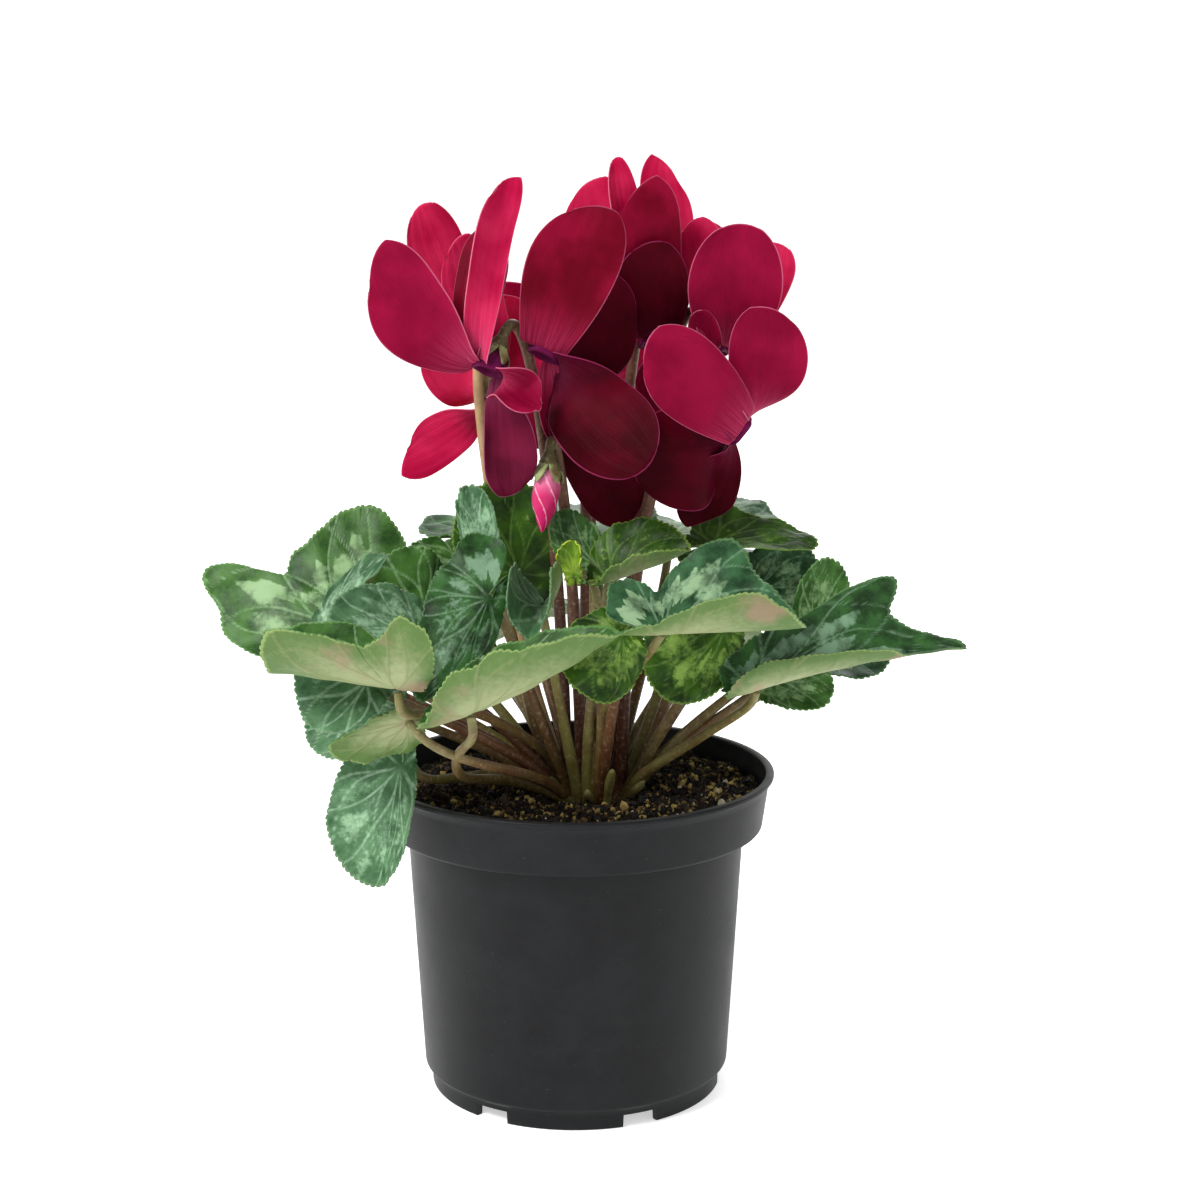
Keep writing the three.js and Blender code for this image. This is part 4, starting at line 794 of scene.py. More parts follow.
# Colours of the upper face: dark ground, light ground, marbling, veins, margin; how rough it is and how
# plainly the veins show.
LEAF_MATERIALS = {
    look: leaf_material(look, *values)
    for look, values in {
        "teal": ("#123418", "#3a663f", "#97b68c", "#86ae8a", "#5c8050", 0.42, 0.5),
        "grey": ("#2c5230", "#547c54", "#90b490", "#a4c4a4", "#6c8c66", 0.46, 0.6),
        "green": ("#183e0a", "#416c2a", "#8cae7a", "#90b484", "#64904c", 0.44, 0.55),
        "olive": ("#122c02", "#345a0a", "#80a04a", "#74944a", "#709034", 0.42, 0.4),
        "silver": ("#0c2a08", "#32602a", "#789a7c", "#8cb08e", "#5a8050", 0.46, 0.45),
        "young": ("#4a7810", "#86a824", "#a8c04c", "#b0c060", "#c0cc3c", 0.46, 0.4),
    }.items()
}
UNDERSIDE = underside_material("leaf underside", "#98a074", "#527034", "#987a66", "#7c8656", "#7f9654")
# Colours of a petal: dark ground, light ground, the lines at its base, its edge; how much light it lets
# through. The deep copy is the petal's own crimson. The bright and pink copies are that crimson painted
# lighter, as painted light on petals that the lamps catch from in front or from behind, and the darkest
# copy is it painted near-black red, as painted shade on petals in shadow.
PETALS = {
    "deep": petal_material("petal, deep crimson", "#5c0216", "#80082a", "#9a2c50", "#b85a7a", 0.06),
    # painted light: the crimson made lighter for petals that the lamps catch from in front or behind
    "bright": petal_material("petal, crimson with painted light", "#76042a", "#8c0c34", "#b43c62", "#cc6a88", 0.1),
    # painted shade: the crimson made near-black for petals in shadow
    "shade_painted_crimson": petal_material("petal, maroon", "#340109", "#4e0214", "#5c1034", "#92305a", 0.04),
    # painted backlight: the crimson made lighter and pinker for petals with light behind them
    "pink": petal_material("petal, crimson with painted backlight", "#a80c3c", "#c22450", "#cc5078", "#d87c94", 0.12),
    "purple": petal_material("petal, purple", "#4e0e24", "#6c1634", "#7e3052", "#a85a7c", 0.06),
    "throat": petal_material("throat", "#3e0628", "#5a0a38", "#6a1848", "#8a3068", 0.06),
}
LEAF_STALK = stalk_material("leaf stalk", "#48240f", "#6a4630", "#858258", "#6f7038")
# The flower stalk's end colour is olive, darkened as painted shade where the stalk hooks under its flower.
FLOWER_STALK = stalk_material("flower stalk", "#4c2a1c", "#745040", "#524a2c", "#b8986c")
TUBER_SKIN = stalk_material("tuber skin", "#3a2a1c", "#4a3626", "#5a4430", "#5a4430")
POT = pot_material()
SOIL = soil_material()
CRUMB = crumb_material()
BUD_PETAL = bud_material()
SEPAL = sepal_material()


# ---------- pot ----------
def corner(centre, radius, first, last, steps):
    """A round corner of a profile, as radius and height, from one angle to the other in degrees."""
    angle = np.radians(np.linspace(first, last, steps))
    return np.stack([centre[0] + radius * np.cos(angle), centre[1] + radius * np.sin(angle)], axis=1)


def straight(a, b, steps):
    return np.linspace(a, b, steps)


def pot_section():
    """The wall's section: from the floor down the foot ring's inside, round its foot, up the outside,
    over the ledge and the collar's bead, round the lip and down inside; straight runs and round
    corners."""
    inner_foot = FOOT_RADIUS - FOOT_WIDTH
    inner_collar = COLLAR_TOP_RADIUS - WALL
    return np.concatenate([
        straight((inner_foot, FLOOR_HEIGHT + 0.1), (inner_foot, 0.6), 6),
        corner((inner_foot + 0.4, 0.4), 0.4, 180, 270, 4),
        corner((FOOT_RADIUS - 0.6, 0.6), 0.6, 270, 360, 5),
        straight((FOOT_RADIUS, 1.5), (FOOT_RADIUS, FLOOR_HEIGHT - 0.4), 5),
        corner((BODY_FOOT_RADIUS - 1.4, BODY_FOOT_HEIGHT + 0.6), 1.4, -60, 0, 6),
        straight((BODY_FOOT_RADIUS + 0.1, BODY_FOOT_HEIGHT + 2), (BODY_TOP_RADIUS, LEDGE_HEIGHT - 1.2), 24),
        corner((BODY_TOP_RADIUS + 1, LEDGE_HEIGHT - 1), 1, 180, 90, 5),
        corner((COLLAR_FOOT_RADIUS - 1.3, LEDGE_HEIGHT + 1.3), 1.3, -90, -5, 7),
        straight((COLLAR_FOOT_RADIUS + 0.1, LEDGE_HEIGHT + 2), (COLLAR_TOP_RADIUS, POT_HEIGHT - 2.4), 8),
        corner((RIM_RADIUS - 0.7, POT_HEIGHT - 1.1), 0.7, -80, 0, 5),
        corner((RIM_RADIUS - 0.7, POT_HEIGHT - 0.7), 0.7, 0, 90, 5),
        corner((inner_collar + 0.7, POT_HEIGHT - 0.7), 0.7, 90, 180, 6),
        straight((inner_collar, POT_HEIGHT - 2), (COLLAR_FOOT_RADIUS - WALL, LEDGE_HEIGHT + 2), 8),
        [[COLLAR_FOOT_RADIUS - WALL - 0.4, LEDGE_HEIGHT + WALL]],
        [[BODY_TOP_RADIUS - WALL, LEDGE_HEIGHT + WALL]],
        straight((BODY_TOP_RADIUS - WALL, LEDGE_HEIGHT), (BODY_FOOT_RADIUS - WALL, FLOOR_HEIGHT + WALL), 6),
        [[inner_foot, FLOOR_HEIGHT + WALL]],
    ])


def pot_floor():
    """Six wedges of the floor, each a grid of rings from the wedge's border in to its drain hole: a
    point is (1 - s) x border + s x hole, in the same direction from the hole's middle."""
    reach = FOOT_RADIUS - FOOT_WIDTH
    half = math.pi / NOTCH_COUNT
    outer_corner = math.atan2(reach * math.sin(half), reach * math.cos(half) - DRAIN_RING)
    turns = np.concatenate([np.linspace(0, outer_corner, 8), np.linspace(outer_corner, math.pi, 14)[1:]])
    turns = np.concatenate([turns, -turns[-2:0:-1]])
    c, s = np.cos(turns), np.sin(turns)
    to_circle = -DRAIN_RING * c + np.sqrt(reach**2 - (DRAIN_RING * s) ** 2)
    slant = np.abs(s) * math.cos(half) - c * math.sin(half)
    to_side = np.where(slant > 1e-6, DRAIN_RING * math.sin(half) / np.maximum(slant, 1e-6), np.inf)
    border = np.minimum(to_circle, to_side)
    rows = []
    for rise, share in ((0, 0), (0, 0.5), (0, 1), (WALL, 1), (WALL, 0)):
        away = border * (1 - share) + DRAIN_RADIUS * share
        height = np.full_like(c, FLOOR_HEIGHT + rise)
        rows.append(np.stack([DRAIN_RING + away * c, away * s, height], axis=-1))
    grid = np.stack(rows)
    parts = []
    for i in range(NOTCH_COUNT):
        turn = math.radians(NOTCH_FIRST + 360 / NOTCH_COUNT * i - 90)
        x = grid[..., 0] * math.cos(turn) - grid[..., 1] * math.sin(turn)
        y = grid[..., 0] * math.sin(turn) + grid[..., 1] * math.cos(turn)
        points = np.stack([x, y, grid[..., 2]], axis=-1).reshape(-1, 3)
        parts.append(dict(points=points, faces=[grid_faces(*grid.shape[:2])]))
    return parts


def make_pot():
    """The wall is its section carried round the axis; in a notch the foot ring's points are lifted to
    the notch's height. Two sectors stand close together at each side of a notch, so it is steep."""
    section = pot_section()
    half = math.degrees(math.asin(NOTCH_WIDTH / 2 / FOOT_RADIUS))
    pitch = 360 / NOTCH_COUNT
    middles = NOTCH_FIRST + pitch * np.arange(NOTCH_COUNT)
    sides = [(middles + sign * (half + d)) % 360 for sign in (-1, 1) for d in (-0.1, 0.1)]
    turns = np.unique(np.round(np.concatenate([np.arange(0, 360, 1.5), *sides]), 4))
    away = np.abs((turns - NOTCH_FIRST + pitch / 2) % pitch - pitch / 2)
    radius = section[:, :1]
    height = np.repeat(section[:, 1:], len(turns), axis=1)
    notch = (radius <= FOOT_RADIUS + 0.01) & (height < NOTCH_HEIGHT) & (away < half)
    height = np.where(notch, NOTCH_HEIGHT, height)
    angle = np.radians(turns)[None]
    grid = np.stack([radius * np.sin(angle), -radius * np.cos(angle), height], axis=-1)
    grid = np.concatenate([grid, grid[:1]])
    wall = dict(points=grid.reshape(-1, 3), faces=[grid_faces(*grid.shape[:2])])
    pot = mesh_object("pot_shell", [wall], [POT])
    outwards(pot)
    on_root(pot, "pot")
    floor = mesh_object("pot_floor", pot_floor(), [POT])
    outwards(floor)
    on_root(floor, "pot")


# ---------- soil, crumbs, tuber and crown ----------
def soil_height(x, y):
    """A low mound, dished at the crown, with ridges across each other."""
    mound = 1.5 * np.cos(np.pi / 2 * np.minimum(1, np.hypot(x, y) / 60))
    dish = 4.8 * np.exp(-((x - CROWN[0]) ** 2 + (y - CROWN[1]) ** 2) / 22**2)
    ridges = np.sin(0.21 * x + 0.8) * np.sin(0.19 * y + 0.3)
    crossing = 0.5 * np.sin(0.37 * x - 0.31 * y + 2)
    return SOIL_LEVEL + mound - dish + SOIL_ROUGHNESS * (ridges + crossing)


def clods(x, y):
    """Fine lumps: ridges of six sizes, each in three directions, as (1 - |sine|) squared."""
    rng = np.random.default_rng(3)
    total = np.full_like(x, -1.6)
    for wavelength, height in ((17, 0.7), (11, 0.7), (7, 0.6), (4.6, 0.5), (3, 0.4), (2, 0.3)):
        for turn, phase in rng.uniform(0, 2 * np.pi, (3, 2)):
            wave = np.sin(2 * np.pi / wavelength * (x * np.cos(turn) + y * np.sin(turn)) + phase)
            total += height * (1 - np.abs(wave)) ** 2
    return total


def make_soil():
    """The top is a height over rings and sectors; under it the soil goes down the pot's wall in a few
    plain rings to its floor."""
    rings, sectors = 170, 320
    outer = COLLAR_FOOT_RADIUS - WALL - 0.2
    angle = np.linspace(0, 2 * np.pi, sectors, endpoint=False)[None]
    body = vec([
        (BODY_FOOT_RADIUS - WALL - 0.5, FLOOR_HEIGHT + WALL + GAP),
        (BODY_TOP_RADIUS - WALL - 0.5, LEDGE_HEIGHT + WALL),
        (outer, LEDGE_HEIGHT + WALL + GAP),
    ])
    under = round_grid(body[:, :1], angle, body[:, 1:])
    radius = outer * np.linspace(1, 0.006, rings)[:, None]
    x, y = radius * np.cos(angle), radius * np.sin(angle)
    top = np.stack([x, y, soil_height(x, y) + clods(x, y)], axis=-1)
    points, faces = skin(np.concatenate([under, top]))
    soil = mesh_object("soil_surface", [dict(points=points, faces=faces)], [SOIL])
    on_root(soil, "soil")


def make_crumbs():
    """Crumbs: icosahedra with each corner pushed in or out at random, flattened, turned and strewn over
    the soil, sunk by a third; the lighter ones lie more towards the front right."""
    rng = np.random.default_rng(11)
    count = 5000
    g = (1 + 5**0.5) / 2
    ball = vec([
        (0, 1, g), (0, -1, g), (0, 1, -g), (0, -1, -g), (1, g, 0), (-1, g, 0), (1, -g, 0), (-1, -g, 0),
        (g, 0, 1), (-g, 0, 1), (g, 0, -1), (-g, 0, -1),
    ]) / math.hypot(1, g)
    triangles = np.array([
        (0, 9, 1), (0, 1, 8), (0, 8, 4), (0, 4, 5), (0, 5, 9), (3, 2, 11), (3, 11, 7), (3, 7, 6),
        (3, 6, 10), (3, 10, 2), (9, 7, 1), (1, 7, 6), (1, 6, 8), (8, 6, 10), (8, 10, 4), (4, 10, 2),
        (4, 2, 5), (5, 2, 11), (5, 11, 9), (9, 11, 7),
    ])
    outer = COLLAR_FOOT_RADIUS - WALL - 2.4
    radius = outer * np.sqrt(rng.uniform(0.04, 1, count))
    angle = rng.uniform(0, 2 * np.pi, count)
    x, y = radius * np.cos(angle), radius * np.sin(angle)
    size = 0.35 + 1.5 * rng.uniform(0, 1, count) ** 4
    pick = rng.uniform(0, 1, count) * (0.76 + 0.28 * smooth(-20, 60, x - y))
    z = soil_height(x, y) + clods(x, y) + 0.3 * size
    shape = ball[None] * rng.uniform(0.6, 1.25, (count, 12, 1)) * rng.uniform(0.5, 1.2, (count, 1, 3))
    turn = rng.uniform(0, 2 * np.pi, count)
    c, s = np.cos(turn)[:, None], np.sin(turn)[:, None]
    a, b, up = np.moveaxis(shape, -1, 0)
    turned = np.stack([c * a - s * b, s * a + c * b, up], axis=-1)
    points = turned * size[:, None, None] + np.stack([x, y, z], axis=-1)[:, None]
    faces = (triangles[None] + 12 * np.arange(count)[:, None, None]).reshape(-1, 3)
    marks = np.repeat(np.stack([pick, 0 * pick, 0 * pick], axis=-1), 12, axis=0)
    part = dict(points=points.reshape(-1, 3), faces=[faces], marks=marks)
    on_root(mesh_object("soil_crumbs", [part], [CRUMB], flat=True), "soil")


def make_tuber():
    """The buried tuber: a flattened ball, its radius swelling in seven low ribs."""
    share = np.linspace(0.02, 0.98, 40)
    radius = TUBER_RADIUS * np.sin(np.pi * share) ** 0.7 * 0.97
    height = CROWN_FOOT - GAP - TUBER_HEIGHT + TUBER_HEIGHT * (1 - np.cos(np.pi * share)) / 2
    points, faces = skin(lathe(np.stack([radius, height], axis=1), 72, CROWN, 0.02, 7))
    on_root(mesh_object("tuber_bark", [dict(points=points, faces=faces)], [TUBER_SKIN]), "tuber")


# ---------- leaves ----------
def blade_frame(leaf):
    """The blade's axes and sizes, worked out from its row."""
    base = vec(leaf["base"])
    chord = vec(leaf["tip"]) - base
    along = unit(chord)
    up = square_to(vec(leaf["face"]), along)
    bend = math.radians(leaf["bend"] or LEAST_ANGLE)
    width = leaf["width"] if isinstance(leaf["width"], tuple) else (leaf["width"],) * 2
    return dict(
        base=base, along=along, up=up, side=np.cross(up, along), bend=bend, width=width,
        length=np.linalg.norm(chord) * (bend / 2) / math.sin(bend / 2),
        fold=[math.radians(f or LEAST_ANGLE) for f in leaf["fold"]], point=leaf.get("point", 0),
    )


def blade_place(frame, x, y, lift):
    """The place of the blade's points that lie x along the midrib and y across it on the surface: the
    midrib is an arc of a circle, each half turns up in a crease and goes on as a circle's arc to its
    margin, and lift stands them off it."""
    bend = frame["bend"]
    curve = bend / frame["length"]
    slope = (bend / 2 - curve * x)[..., None]
    place = frame["base"] + frame["along"] * (math.sin(bend / 2) - np.sin(slope)) / curve
    place = place + frame["up"] * (np.cos(slope) - math.cos(bend / 2)) / curve
    up = frame["up"] * np.cos(slope) - frame["along"] * np.sin(slope)
    fold = np.where(y > 0, *frame["fold"])[..., None]
    width = np.where(y > 0, *frame["width"])[..., None]
    start = fold * MIDRIB_CREASE
    angle = start + fold * (1 - MIDRIB_CREASE) * np.abs(y)[..., None] / width
    scale = width / (fold * (1 - MIDRIB_CREASE))
    place = place + frame["side"] * np.sign(y)[..., None] * scale * (np.sin(angle) - np.sin(start))
    return place + up * (scale * (np.cos(start) - np.cos(angle)) + lift[..., None])


def around(values, angle):
    """A Catmull-Rom curve round the leaf through values at equal steps, from one lobe over the tip to
    the other lobe; the stalk's side takes the mean of the two lobes."""
    ring = vec([(values[0] + values[-1]) / 2, *values])
    step = (angle + np.pi) / (2 * np.pi / len(ring))
    first = np.floor(step).astype(int)
    f = step - first
    a, b, c, d = (ring[(first + k) % len(ring)] for k in (-1, 0, 1, 2))
    return 0.5 * (2 * b + (c - a) * f + (2 * a - 5 * b + 4 * c - d) * f**2 + (3 * b - a - 3 * c + d) * f**3)


def leaf_margin(leaf, frame, angle):
    """Where the margin lies at an angle from the tip: a heart's reach, mean + first and second cosine,
    drawn out at the tip, times the leaf's own factors and the notch at the stalk."""
    mean, first, second = LOBE_REACH
    tip = (1 + frame["point"] * np.exp(-((angle / TIP_WIDTH) ** 2))) / (1 + frame["point"])
    reach = tip * (mean + first * np.cos(angle) + second * np.cos(2 * angle))
    reach = reach * (1 - SINUS[0] * np.exp(-(((np.pi - np.abs(angle)) / SINUS[1]) ** 2)))
    if "margin" in leaf:
        reach = reach * around(leaf["margin"], angle)
    half = np.where(angle > 0, *frame["width"])
    return frame["length"] * reach * np.cos(angle), half * reach / WIDEST * np.sin(angle)


def vein_marks(share, angle, reach):
    """How near a point is to a vein, 0 to 1, and in mm, from its distance from the stalk as a share of
    the mean reach. Main veins run out from the stalk, bend a little towards the tip, waver, and fork
    beyond 0.3 of the reach; a vein thins from about 0.9 mm to 0.6 mm."""
    width = 0.45 - 0.12 * share
    fork = 0.2 * np.maximum(0, share - 0.3) / 0.7
    near = np.full(np.broadcast(share, angle).shape, 1e3)
    for main in VEINS:
        for branch in (-1, 1):
            bent = main * (1 - 0.12 * share**2) + 0.035 * np.sin(5 * share + 4 * main)
            off = angle - bent - branch * fork * (1 + 0.4 * math.sin(7 * main))
            off = (off + np.pi) % (2 * np.pi) - np.pi
            near = np.minimum(near, np.abs(off) * share * reach / (1 if main else 1.3))
    return (1 - smooth(0.4, 1.5, near / width)) * smooth(0.02, 0.2, share), near


def make_leaf(name, leaf, number):
    """A blade: rings from the stalk's end out to the margin on the under face, then back in on the upper
    one. Teeth stand at equal steps along the margin: the last rings' reach falls off beside each tooth
    as a parabola. The surface rises between veins, and the marbling is a band at mid reach that is
    broken at the veins."""
    rng = np.random.default_rng(100 + number)
    frame = blade_frame(leaf)
    look, band, band_width, strength = leaf["colour_and_painted_light"]
    fine = np.linspace(-np.pi, np.pi, 1441)
    x, y = leaf_margin(leaf, frame, fine)
    run = np.concatenate([[0], np.cumsum(np.hypot(np.diff(x), np.diff(y)))])
    teeth = max(24, int(round(run[-1] / TOOTH_PITCH)))
    columns = 4 * teeth
    spot = (np.arange(columns) + np.repeat(rng.uniform(-0.6, 0.6, teeth), 4)) % columns
    spot[0] = 0
    angle = np.interp(np.sort(spot) / columns * run[-1], run, fine)[None]
    rings = 32 if max(frame["width"]) > 20 else 20
    share = (np.linspace(0, 1, rings + 1)[1:, None]) ** 0.92
    x, y = leaf_margin(leaf, frame, angle)
    reach = np.hypot(x, y)
    tooth = np.tile([0.0, 0.8, 1.0, 0.8], teeth)[None] * np.repeat(rng.uniform(0.6, 1.1, teeth), 4)[None]
    scale = share * (1 - np.minimum(0.25, TOOTH_HEIGHT / np.maximum(reach, 1)) * (1 - tooth) * share**18)
    far = share * reach / reach.mean()
    veins, near = vein_marks(far, angle, reach.mean())
    if "lift" in leaf:
        lift = around(leaf["lift"], angle)
    else:
        height, phase = leaf.get("wave", (0, 0))
        lift = height * np.cos(angle / 2) ** 2 * np.sin(5 * angle + phase)
    phases = rng.uniform(0, 2 * np.pi, 4)
    swell = 0.5 * (1 - np.exp(-near / 2.0)) * np.minimum(1, 1.4 * share) - 0.3
    ripple = 0.5 * np.sin(11 * angle + phases[0]) * share**4
    ripple = ripple + 0.35 * np.sin(17 * angle + phases[1]) * share**6
    crumple = (1.1 if look == "young" else 0.35) * np.sin(0.42 * x * share + phases[2])
    crumple = crumple * np.sin(0.5 * y * share + phases[3])
    lift = share**2 * lift + np.minimum(1, 3 * share) * (swell + ripple + crumple * share)
    upper = blade_place(frame, x * scale, y * scale, lift)
    under = upper + normals_of(upper, True) * (BLADE_THICKNESS * (1 - 0.35 * share**6))[..., None]
    jag = 0.05 * np.sin(13 * angle + phases[2]) + 0.035 * np.sin(29 * angle + phases[3])
    jag = jag + 0.02 * np.sin(61 * angle)
    gap = 1 - 0.55 * np.exp(-((near / (1.6 + 2.2 * share)) ** 2))
    marbling = strength * gap * (1 - smooth(0.6, 1.5, np.abs(share - band - jag) / band_width))
    marks = np.stack(np.broadcast_arrays(veins, marbling, share), axis=-1)
    points, faces = skin(np.concatenate([under, upper[::-1]]))
    upper_rows = np.repeat(np.arange(2 * rings - 1) >= rings - 1, columns)
    slot = np.concatenate([upper_rows, np.zeros(columns), np.ones(columns)]).astype(int) ^ 1
    marks = skin_values(np.concatenate([marks, marks[::-1]]))
    part = dict(points=points, faces=faces, slot=slot, marks=marks)
    piece = mesh_object("blade_" + name, [part], [LEAF_MATERIALS[look], UNDERSIDE])
    on_root(piece, "leaf_" + name)


def leaf_stalk_path(leaf):
    """The stalk's middle line from the crown to under the blade: through its own places where it has
    any, else a cubic Bezier that rises from the crown and arrives under the blade."""
    frame = blade_frame(leaf)
    half = frame["bend"] / 2
    normal = frame["up"] * math.cos(half) - frame["along"] * math.sin(half)
    arrive = unit(0.35 * frame["along"] + 0.9 * normal)
    cosine = arrive @ normal
    droop = math.tan(-MIDRIB_CREASE * min(0, *frame["fold"]))
    seat = STALK_SEAT + LEAF_STALK_RADIUS * (math.sqrt(1 - cosine**2) + droop)
    end = frame["base"] - arrive * (BLADE_THICKNESS + seat) / cosine
    crown = vec((*CROWN, CROWN_TOP - 3))
    out = unit((end - crown) * (1, 1, 0))
    start = crown + 0.75 * CROWN_RADIUS * out
    if "via" in leaf:
        path = passing([start, *leaf["via"], end - 5 * arrive, end], 14)
    else:
        reach = np.linalg.norm(end - start)
        rise = start + 0.2 * reach * out + (0, 0, 0.45 * (end[2] - start[2]))
        path = bezier((start, rise, end - 0.3 * reach * arrive, end), np.linspace(0, 1, 44))[0]
    return np.concatenate([path, (end + arrive * 0.8)[None]])


def make_leaf_stalks():
    """Every leaf's stalk, thicker at its root, with the crown's knobbly top and a few sprouts."""
    rng = np.random.default_rng(5)
    parts = []
    for leaf in LEAVES.values():
        path = leaf_stalk_path(leaf)
        share = np.linspace(0, 1, len(path))
        radii = LEAF_STALK_RADIUS + 0.6 * (1 - smooth(0, 0.7, share)) + 0.4 * (1 - smooth(0, 0.12, share))
        parts.append(tube(path, radii, 12, rng.uniform(0, 0.8)))
    for x, y, height, tint in ((-14, -14, 9, 1.0), (6, -20, 13, 0.9), (-2, -19, 6, 0.6), (16, -14, 8, 0.4)):
        foot = vec((CROWN[0] + 0.6 * x, CROWN[1] + 0.6 * y, 95))
        top = vec((CROWN[0] + x, CROWN[1] + y, 98 + height))
        path = bezier((foot, foot + (0, 0, 6), top - (0.1 * x, 0.1 * y, 4), top), np.linspace(0, 1, 14))[0]
        radii = 1.7 * np.sqrt(1 - np.linspace(0, 0.985, 14) ** 6)
        parts.append(tube(path, radii, 12, tint))
    sectors, rows = 96, 30
    angle = np.linspace(0, 2 * np.pi, sectors, endpoint=False)[None]
    share = np.linspace(0.02, 0.985, rows)[:, None]
    knob = 1 + 0.05 * np.sin(9 * angle + 4 * share) + 0.04 * np.sin(17 * angle - 9 * share)
    knob = knob + 0.03 * np.sin(31 * angle)
    radius = (CROWN_RADIUS - 1) * np.sin(np.pi * share) ** 0.6 * knob
    height = CROWN_FOOT + 0.2 + (CROWN_TOP - CROWN_FOOT) * (1 - np.cos(np.pi * share)) / 2
    height = height + 0.8 * smooth(0.5, 0.8, share) * np.sin(0.9 * radius + 5 * angle)
    points, faces = skin(round_grid(radius, angle, height, CROWN))
    parts.append(dict(points=points, faces=faces))
    on_root(mesh_object("crown_stalks", parts, [LEAF_STALK]), "leaf_stalks")


# ---------- flowers ----------
def petal_part(bloom, petal, number):
    """A petal: its midline is a cubic Bezier that leaves the throat's mouth and turns back to the tip;
    across, it is a circle's arc (the cup) that turns by degrees to its own facing. Its half-width grows
    from the base to the widest as 3s^2 - 2s^3, and past it the edge goes on round an ellipse to 60
    degrees while the middle runs on to the tip. Pleats and a ruffle grow towards the edge."""
    tip, width, bulge, cup, face, ruffle, colour_and_painted_light, back = petal
    rng = np.random.default_rng(900 + number)
    mouth, throat, tip, face = unit(vec(bloom["mouth"])), vec(bloom["throat"]), vec(tip), vec(face)
    out = square_to(tip - throat, mouth)
    start = throat + PETAL_RING * out - 0.25 * THROAT_DEPTH * mouth - back * unit(face)
    chord = tip - start
    span = np.linalg.norm(chord)
    side0 = unit(np.cross(mouth, out))
    bow = unit(np.cross(side0, chord))
    bow = bow if bow @ (mouth + out) > 0 else -bow
    control = (start, start + PETAL_REFLEX * mouth + 2 * out, start + 0.62 * chord + bulge * bow, tip)
    flat0 = unit(np.cross(bezier(control, 0.6)[1], side0))
    turn = math.atan2(-face @ side0, face @ flat0)
    cup = math.radians(cup or LEAST_ANGLE)
    rows, columns = 44, 30
    s = np.linspace(0, 1, rows)[:, None]
    even = np.linspace(-1, 1, columns + 1)
    v = np.sin(even * np.pi / 2)[None] * 0.5 + even[None] * 0.5
    widest = np.clip(1 - 0.95 * width / span, 0.5, 0.8)
    arc = np.radians(60) * np.clip((s - widest) / (1 - widest), 0, 1)
    edge = np.where(s < widest, s, widest + (1 - widest) * np.sin(arc))
    oblique = rng.uniform(-0.1, 0.1) * v * smooth(0.3, 0.9, s)
    t = edge + (s - edge) * (1 - v**2) + oblique
    half = width * np.where(s < widest, PETAL_BASE + (1 - PETAL_BASE) * smooth(0.1, widest, s), np.cos(arc))
    half = PETAL_CLAW + (half - PETAL_CLAW) * smooth(0, 0.15, s)
    place, ahead = bezier(control, t)
    flat = unit(np.cross(ahead, side0))
    angle = (turn * smooth(0, 0.6, t))[..., None]
    side = side0 * np.cos(angle) + flat * np.sin(angle)
    up = flat * np.cos(angle) - side0 * np.sin(angle)
    a, b, c = rng.uniform(0, 2 * np.pi, 3)
    ruffle = ruffle * v**2 * t * np.sin(9 * t + 3 * v)
    pleats = 0.5 * np.abs(v) ** 3 * np.sin(7 * t * span / 40 + b + 2 * v)
    pleats = 0.07 * np.sin(17 * v + a + 1.5 * t) + pleats
    pleats = (pleats + 0.6 * np.sin(2.4 * v + b) * np.sin(3.2 * t + c)) * smooth(0.05, 0.5, t)
    crease = -0.35 * np.exp(-((v / 0.1) ** 2)) * (1 - t) * smooth(0.1, 0.3, t)
    lift = half / cup * (1 - np.cos(cup * v)) + ruffle + pleats + crease
    upper = place + side * (half / cup * np.sin(cup * v))[..., None] + up * lift[..., None]
    thick = PETAL_THICKNESS * (1 - 0.4 * np.maximum(np.abs(v), s) ** 8)
    under = upper + normals_of(upper, False) * thick[..., None]
    ring = np.concatenate([under, upper[:, ::-1]], axis=1)
    rim = np.maximum(np.abs(v), 1 - (1 - s) * span / width)
    marks = np.stack(np.broadcast_arrays(v * width / 15, s, rim), axis=-1)
    marks = np.concatenate([marks, marks[:, ::-1]], axis=1).reshape(-1, 3)
    faces = sheet_faces(rows, ring.shape[1])
    return dict(points=ring.reshape(-1, 3), faces=faces, slot=list(PETALS).index(colour_and_painted_light), marks=marks)


def throat_part(bloom):
    """The throat: a cup with five lobes, a profile carried round the mouth's axis out and back in."""
    r, d = THROAT_RADIUS, THROAT_DEPTH
    profile = [
        (0.3, -d), (0.6 * r, -d), (0.85 * r, -0.65 * d), (r, -1.5), (1.06 * r, -0.4), (1.04 * r, 0.3),
        (0.9 * r, 0.5), (0.72 * r, 0), (0.6 * r, -0.35 * d), (0.4 * r, -0.75 * d), (0.1, -0.8 * d),
    ]
    points, faces = skin(laid(lathe(profile, 50, lobes=0.07), bloom["throat"], bloom["mouth"]))
    return dict(points=points, faces=faces, slot=list(PETALS).index("throat"))


def make_bloom(name, bloom, number):
    """Five petals and the throat."""
    parts = [petal_part(bloom, petal, 10 * number + i) for i, petal in enumerate(bloom["petals"])]
    parts.append(throat_part(bloom))
    on_root(mesh_object("petals_" + name, parts, PETALS.values()), "bloom_" + name)


